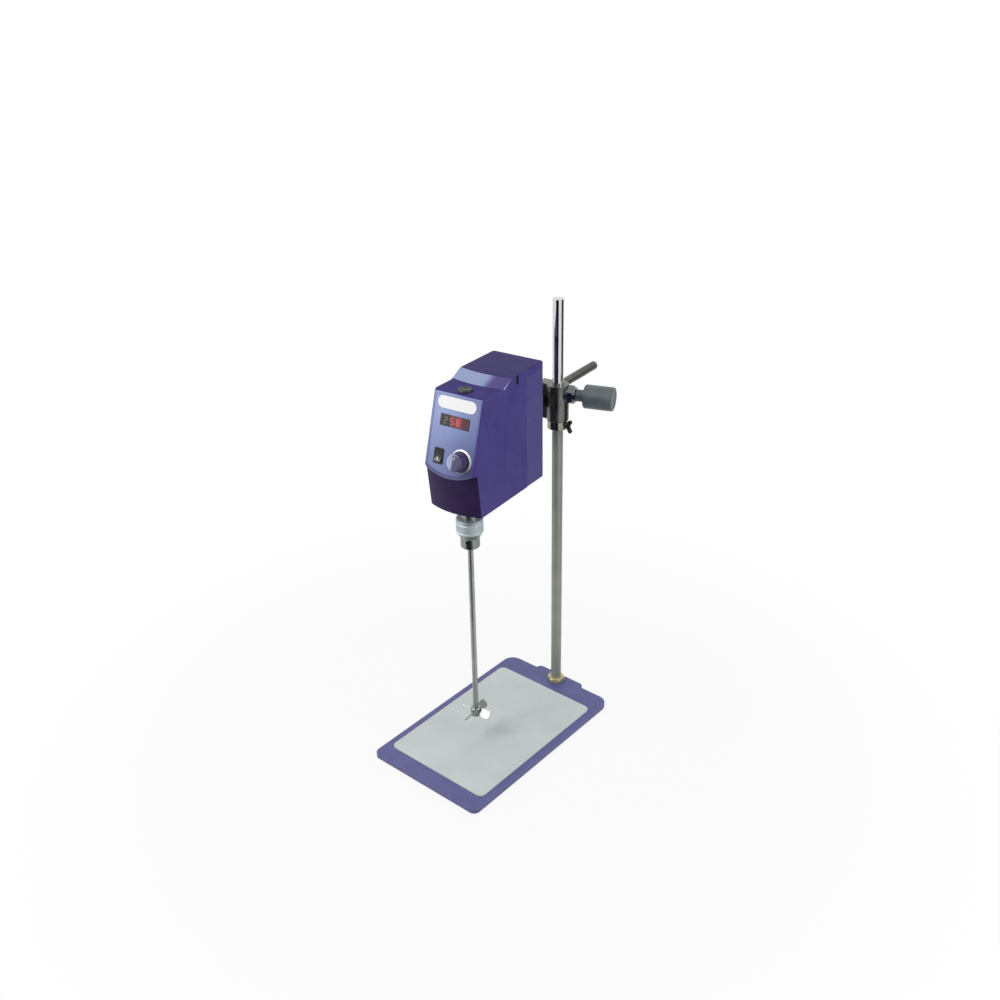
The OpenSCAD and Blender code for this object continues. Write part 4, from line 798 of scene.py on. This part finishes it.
# speed knob: fluted cap with a pointer, over a bright skirt
knob = {"skirt": 16.5, "cap": 12.5, "foot": 1.8, "low": 3.8, "high": 18.8, "flutes": 20, "shaft": 3.05,
        "shaftEnd": 15.8, "faceDepth": 1.3, "brightRim": 2.4}
knobPlace = panelPlace @ shift(*places["knobAt"], 0)
capRadius, high = knob["cap"], knob["high"]
cap = turned("speedKnob", [
    (knob["shaft"], knob["shaftEnd"]), (knob["shaft"], knob["low"]), (capRadius, knob["low"]),
    (capRadius, knob["low"] + 1.6), (capRadius - 0.9, high - 1.6), (capRadius - 1.4, high - 0.6),
    (capRadius - 2.6, high), (capRadius - 4.0, high), (capRadius - 4.6, high - 0.5), (0.5, high - 0.9)], 96)
flute = roundBar("flute", 1.1, 16, (capRadius + 0.35, 0, knob["low"] + 10), "Z", 16)
cutAway(cap, ringOf(flute, knob["flutes"]))
finishPiece(cap, knobPlace, "speed_knob", "purple_plastic", "knobPlum knobFace", "speed_knob", sharp=35)
paintFaces(cap, knobPlace, lambda middle, facing: int(middle.z > high - knob["faceDepth"]))
pointer = block("knobPointer", (0.8, 4.5, 0.5), (0, 5.6, high - 0.65))
roundEdges(pointer, 0.35, 3)
finishPiece(pointer, knobPlace, "speed_knob", "white_plastic", "labelWhite")
rim = knob["skirt"]
skirt = turned("speedKnobSkirt", [
    (knob["shaft"], knob["foot"]), (rim - 0.4, knob["foot"]), (rim, 2.2), (rim - 0.1, 2.7), (rim - 1.4, 3.6),
    (rim - knob["brightRim"], knob["low"]), (knob["shaft"], knob["low"])], 96, True)
finishPiece(skirt, knobPlace, "speed_knob", "alloy", "knobSilver knobPlum", "speed_knob_skirt", sharp=50)
# painted shade: the skirt's flat inner part takes the knob's plum, inside the bright rim
paintFaces(skirt, knobPlace, lambda middle, facing: int(middle.xy.length < rim - knob["brightRim"]))

# plug in the deck's hole, dished on top
plug = {"hole": 6.95, "head": 10, "high": 3}
shank, head = plug["hole"], plug["head"]
stopper = turned("holePlug", [
    (shank - 0.8, -5.5), (shank, -4.7), (shank, 0), (head, 0), (head, 1.0), (head - 0.5, 2.2),
    (head - 1.6, plug["high"]), (head - 3.6, plug["high"]), (head - 4.4, 2.3), (0.4, 2.1)])
finishPiece(stopper, spindlePlace @ shift(0, 0, shell["top"]), "plug", "black_plastic", "blackPlastic",
            "hole_plug", sharp=40)
print("panel made")

# chuck: flanged body and knurled sleeve with key holes
chuck = {"radius": 19, "top": -22, "flangeFoot": -27, "core": 10, "bore": 4.05, "end": -67.3,
         "sleeveTop": -27.3, "nose": 13.5, "noseHigh": 24, "keyHole": 2.5, "keyUp": 12, "keyTurn": 48,
         "jawWide": 4.8, "jawLength": 21.2, "grooves": 36, "fit": 0.05, "ringCut": -40.3}
wide, core, nose, end, bore = (chuck[key] for key in ("radius", "core", "nose", "end", "bore"))
foot, chuckTop, sleeveTop = chuck["flangeFoot"], chuck["top"], chuck["sleeveTop"]
keyHeight, sleeveBore, neck = end + chuck["keyUp"], core + chuck["fit"], chuck["ringCut"]
flange = turned("chuckBody", [
    (bore, end - 1), (core - 1, end - 1), (core, end), (core, foot), (wide - 1.4, foot), (wide, foot + 1.4),
    (wide, foot + 3.6), (wide - 1.2, chuckTop - 0.2), (wide - 5, chuckTop), (bore, chuckTop)], 96, True)
for jaw in range(3):
    cut = block("jawSlot", (14, chuck["jawWide"], chuck["jawLength"] + 1), (7, 0, end - 2 + 11.1))
    cutAway(flange, moved(cut, turn(120 * jaw, "Z")))
sleeve = turned("chuckSleeve", [
    (sleeveBore, end), (nose - 1.4, end), (nose, end + 1.4), (nose, end + 15.2), (nose + 0.8, end + 16.6),
    (wide - 0.9, neck - 3.9), (wide, neck - 2.5), (wide, neck - 0.7), (wide - 0.7, neck),
    (wide - 0.7, neck + 1), (wide, neck + 1.7), (wide, sleeveTop - 1.9), (wide - 1.7, sleeveTop),
    (sleeveBore, sleeveTop)], 96, True)
for hole in range(3):
    drill = roundBar("keyHole", chuck["keyHole"], 24, (18, 0, keyHeight), "X", 32)
    moved(drill, turn(chuck["keyTurn"] + 120 * hole, "Z"))
    cutAway(sleeve, twin(drill, "pilotHole"))
    cutAway(flange, drill)
finishPiece(flange, spindlePlace, "drive", "alloy", "chuckAlloy", "chuck_body", sharp=35)
cutAway(sleeve, ringOf(block("groove", (1.2, 1.1, 9.0), (wide + 0.2, 0, -34)), chuck["grooves"]))
finishPiece(sleeve, spindlePlace, "chuck_sleeve", "alloy", "sleeveAlloy noseAlloy blackPlastic",
            "chuck_sleeve", sharp=35)


# the sleeve's finishes in their order: knurled part, nose, inside of the key holes in black as painted shade
def sleeveFinish(middle, facing):
    inWall = core + 0.2 < middle.xy.length < nose - 0.2
    if inWall and abs(middle.z - keyHeight) < chuck["keyHole"] + 0.1:
        return 2
    return int(middle.z < end + chuck["noseHigh"])


paintFaces(sleeve, spindlePlace, sleeveFinish)

# impeller: hub with chamfers and four pitched blades with rounded corners
impeller = {"hub": 7.5, "high": 14, "bore": 4.05, "low": 46, "wide": 13, "thick": 1.5, "pitch": 45}
hubRadius, hubHigh, bore = impeller["hub"], impeller["high"], impeller["bore"]
hub = turned("impeller", [(bore, 0), (hubRadius - 1, 0), (hubRadius, 1), (hubRadius, hubHigh - 1),
                          (hubRadius - 1, hubHigh), (bore, hubHigh)], 64, True)
blade = block("blade", (18.5, impeller["wide"], impeller["thick"]), (15.75, 0, 0))
roundEdges(blade, 4, 5, lambda middle, way: abs(way.z) > 0.9 and middle.x > 20)
roundEdges(blade, 0.35, 2, lambda middle, way: abs(way.z) < 0.1)
blades = [twin(blade, "blade", turn(90 * i, "Z") @ shift(0, 0, 7) @ turn(impeller["pitch"], "X"))
          for i in range(4)]
bpy.data.objects.remove(blade)
fuse(hub, *blades)
cutAway(hub, roundBar("bore", bore, 30, (0, 0, 7)))
cutAway(hub, moved(roundBar("screwHole", 1.55, 12, (6, 0, 7), "X", 24), turn(45, "Z")))
finishPiece(hub, spindlePlace @ shift(0, 0, impeller["low"] - places["underside"]), "tool", "steel",
            "steel", "impeller", sharp=35)
print("chuck and impeller made")

# clamp body: two bored bosses on a web, cast with rounded edges
clamp = {"low": 467.2, "high": 520.2, "radius": 16.05, "bore": 8.05, "armRadius": 15.15, "armLength": 44,
         "armBore": 8.6, "web": 18, "boss": 12, "bossOut": 17, "round": 1.1}
middleHeight = (clamp["low"] + clamp["high"]) / 2
tall = clamp["high"] - clamp["low"]
armMiddle = (places["armOffset"], 0, places["armHeight"])
casting = roundBar("clampBody", clamp["radius"], tall, (0, 0, middleHeight))
armBoss = roundBar("armBoss", clamp["armRadius"], clamp["armLength"], armMiddle, "Y")
web = block("web", (-places["armOffset"], clamp["web"], tall), (places["armOffset"] / 2, 0, middleHeight))
handleBoss = roundBar("handleBoss", clamp["boss"], clamp["bossOut"], (0, 0, clamp["bossOut"] / 2))
moved(handleBoss, handleInClamp)
fuse(casting, armBoss, web, handleBoss)
softenEdges(casting, clamp["round"], 3, 40)
cutAway(casting, roundBar("poleBore", clamp["bore"], 80, (0, 0, middleHeight)),
        roundBar("armBore", clamp["armBore"], 60, armMiddle, "Y"),
        roundBar("screwBore", 3.05, 32, (-44, 0, places["armHeight"]), "X", 32))
studBore = roundBar("studBore", 4.05, 34, (0, 0, 17), "Z", 32)
cutAway(casting, moved(studBore, handleInClamp))
finishPiece(casting, clampPlace, "clamp", "cast", "castDark", "clamp_body", sharp=35)

# clamp handle: neck, round grip with a step near its end
handle = {"bore": 4.05, "boreEnd": 62, "foot": 27.3, "neck": 8.5, "start": 40, "radius": 17, "end": 82}
keys = ("bore", "foot", "neck", "radius", "start", "end")
bore, foot, neck, wide, start, tip = (handle[key] for key in keys)
grip = turned("clampHandle", [
    (bore, handle["boreEnd"]), (bore, foot), (neck - 0.7, foot), (neck, 28), (neck, start - 1.4),
    (9.6, start), (wide - 1.8, start), (wide - 0.6, start + 0.5), (wide, start + 1.8), (wide, tip - 4.6),
    (wide - 0.5, tip - 4.1), (wide - 0.5, tip - 3.3), (wide, tip - 2.8), (wide, tip - 1.4),
    (wide - 0.5, tip - 0.5), (wide - 1.6, tip), (13.2, tip), (12.6, tip - 0.6), (0.5, tip - 0.8)], 96)
finishPiece(grip, handlePlace, "handle", "grey_plastic", "handleGrey", "clamp_handle", sharp=40)

# stop ring with broken edges
ring = {"bore": 8.05, "radius": 15, "low": 453, "high": 467, "edge": 1.2}
bore, wide, low, high, edge = (ring[key] for key in ("bore", "radius", "low", "high", "edge"))
stop = turned("stopRing", [(bore, low), (wide - edge, low), (wide, low + edge), (wide, high - edge),
                           (wide - edge, high), (bore, high)], 96, True)
screwHole = roundBar("screwHole", 2.55, 20, (0, 0, 12), "Z", 32)
screwPlace = shift(0, 0, places["ringScrewHeight"]) @ turn(places["ringScrewTurn"], "Z") @ turn(90, "Y")
cutAway(stop, moved(screwHole, screwPlace))
finishPiece(stop, clampPlace, "stop_ring", "steel", "ringSteel", "stop_ring", sharp=35)

# the locking screw's knurled head
screwHead = turned("armScrew", [
    (3, 8.65), (3, 19.15), (8, 19.15), (9, 20.1), (9, 28.2), (8, 29.15), (0.5, 29.15)], 72)
cutAway(screwHead, ringOf(block("nick", (1.0, 1.0, 12), (9.2, 0, 24)), 24))
armScrewPlace = clampPlace @ shift(*armMiddle) @ turn(-90, "Y")
finishPiece(screwHead, armScrewPlace, "arm_screw", "black_plastic", "blackPlastic", "arm_screw", sharp=35)
print("clamp made")

# the other nodes keep their shape and get their finish
kept = {"padRubber": "base_pad", "ringSteel": "ring_screw", "poleSteel": "pole", "copperBrown": "motor_rotor",
        "gearPlastic": "spindle_gear", "boardGreen": "circuit_board", "castDark": "arm_flange motor_magnets",
        "frameAlloy": "potentiometer inner_frame", "blackPlastic": "display_module board_parts power_inlet",
        "brass": "arm_bush motor_pinion board_pillars inlet_pins",
        "darkSteel": "support_arm chuck_jaw_1 chuck_jaw_2 chuck_jaw_3",
        "ironDark": "clamp_collar spindle_rings motor_case impeller_screw",
        "steel": "pole_screw clamp_stud arm_flange_screws frame_screws spindle_bearings spindle "
                 "motor_bearings motor_screws stirring_rod"}
for finish, names in kept.items():
    for name in names.split():
        for holder in nodes[name].material_slots:
            holder.material = finishes[finish]
print("kept nodes finished:", len(" ".join(kept.values()).split()))

# floor, light and camera
studio = {"floor": (205, 205, 205), "fill": 0.52, "keyPower": 17.0, "keyAt": (-0.7, -1.2, 1.6),
          "sidePower": 10.0, "sideAt": (1.6, 0.4, 1.1), "paperWhite": 0.9, "whiteFrom": 0.3, "whiteBy": 0.8}


# 1 for what the camera sees, straight on, mirrored or through something
def seenByViewer(tree):
    rays = addNode(tree, "ShaderNodeLightPath").outputs
    seen = maths(tree, "MAXIMUM", rays["Is Camera Ray"], rays["Is Glossy Ray"])
    return maths(tree, "MAXIMUM", seen, rays["Is Transmission Ray"])


clearSelection()
bpy.ops.mesh.primitive_plane_add(size=30, location=(0, 0, 0))
floor = bpy.context.object
floor.name = "studioFloor"
floorFinish, tree, paper = newMaterial("studioFloor")
paper.inputs["Base Color"].default_value = colour(*studio["floor"])
paper.inputs["Roughness"].default_value = 0.9
distance = addNode(tree, "ShaderNodeVectorMath", {0: ownPlace(tree)}, operation="LENGTH").outputs["Value"]
fade = ramp(tree, distance, studio["whiteFrom"], studio["whiteBy"], smooth=True,
            **{"To Min": studio["paperWhite"]})
white = addNode(tree, "ShaderNodeEmission")
whitePaper = addNode(tree, "ShaderNodeMixShader", {0: maths(tree, "MULTIPLY", seenByViewer(tree), fade),
                                                   1: paper.outputs[0], 2: white.outputs[0]})
tree.links.new(whitePaper.outputs[0], tree.nodes["Material Output"].inputs["Surface"])
floor.data.materials.append(floorFinish)

world = bpy.data.worlds.new("studio")
bpy.context.scene.world = world
world.use_nodes = True
tree = world.node_tree
sky = tree.nodes["Background"]
sky.inputs["Color"].default_value = (1, 1, 1, 1)
tree.links.new(ramp(tree, seenByViewer(tree), 0, 1, **{"To Min": studio["fill"]}), sky.inputs["Strength"])


def addLamp(name, power, size, place, aim):
    clearSelection()
    bpy.ops.object.light_add(type="AREA", location=place)
    lamp = bpy.context.object
    lamp.name = name
    lamp.data.energy = power
    lamp.data.shape = "RECTANGLE"
    lamp.data.size, lamp.data.size_y = size
    lamp.rotation_euler = (Vector(aim) - Vector(place)).to_track_quat("-Z", "Y").to_euler()
    return lamp


addLamp("keyLamp", studio["keyPower"], (0.9, 0.9), studio["keyAt"], (0, 0, 0.4))
addLamp("sideLamp", studio["sidePower"], (0.6, 1.2), studio["sideAt"], (0, 0, 0.4))

# dark cards that only the bright metal mirrors, for the dark stripes along the pole, the chuck and the rod
cards = {"cardFront": {"from": (-0.06, -0.34), "to": (0.33, -0.17), "low": 0.0, "high": 0.64, "tone": 0.004},
         "cardRight": {"from": (0.5, 0.3), "to": (0.2, 0.72), "low": 0.05, "high": 0.64, "tone": 0.05}}
for name, card in cards.items():
    clearSelection()
    middle = [(a + b) / 2 for a, b in zip(card["from"], card["to"])]
    length = math.dist(card["from"], card["to"])
    way = math.atan2(card["to"][1] - card["from"][1], card["to"][0] - card["from"][0])
    bpy.ops.mesh.primitive_plane_add(size=1, location=(*middle, (card["low"] + card["high"]) / 2),
                                     rotation=(math.pi / 2, 0, way))
    flag = bpy.context.object
    flag.name = name
    flag.scale = (length, card["high"] - card["low"], 1)
    cardFinish, tree, paint = newMaterial(name)
    paint.inputs["Base Color"].default_value = (*[card["tone"]] * 3, 1)
    paint.inputs["Roughness"].default_value = 0.9
    paint.inputs["Specular IOR Level"].default_value = 0.0
    flag.data.materials.append(cardFinish)
    flag.visible_camera = flag.visible_diffuse = flag.visible_shadow = flag.visible_transmission = False

viewer = {"place": (0.89558, -1.01843, 1.08955), "azimuth": 40.706, "elevation": 27.068, "roll": -1.139,
          "lens": 39.97}
azimuth, elevation, roll = (math.radians(viewer[k]) for k in ("azimuth", "elevation", "roll"))
level = math.cos(elevation)
away = Vector((math.sin(azimuth) * level, -math.cos(azimuth) * level, math.sin(elevation)))
flatRight = Vector((math.cos(azimuth), math.sin(azimuth), 0))
flatUp = away.cross(flatRight)
right = flatRight * math.cos(roll) + flatUp * math.sin(roll)
up = flatUp * math.cos(roll) - flatRight * math.sin(roll)
clearSelection()
bpy.ops.object.camera_add(location=viewer["place"])
camera = bpy.context.object
camera.matrix_world = shift(*viewer["place"]) @ Matrix((right, up, away)).transposed().to_4x4()
camera.data.lens = viewer["lens"]
camera.data.sensor_width = 36
bpy.context.scene.camera = camera
bpy.context.scene.view_settings.view_transform = "Standard"
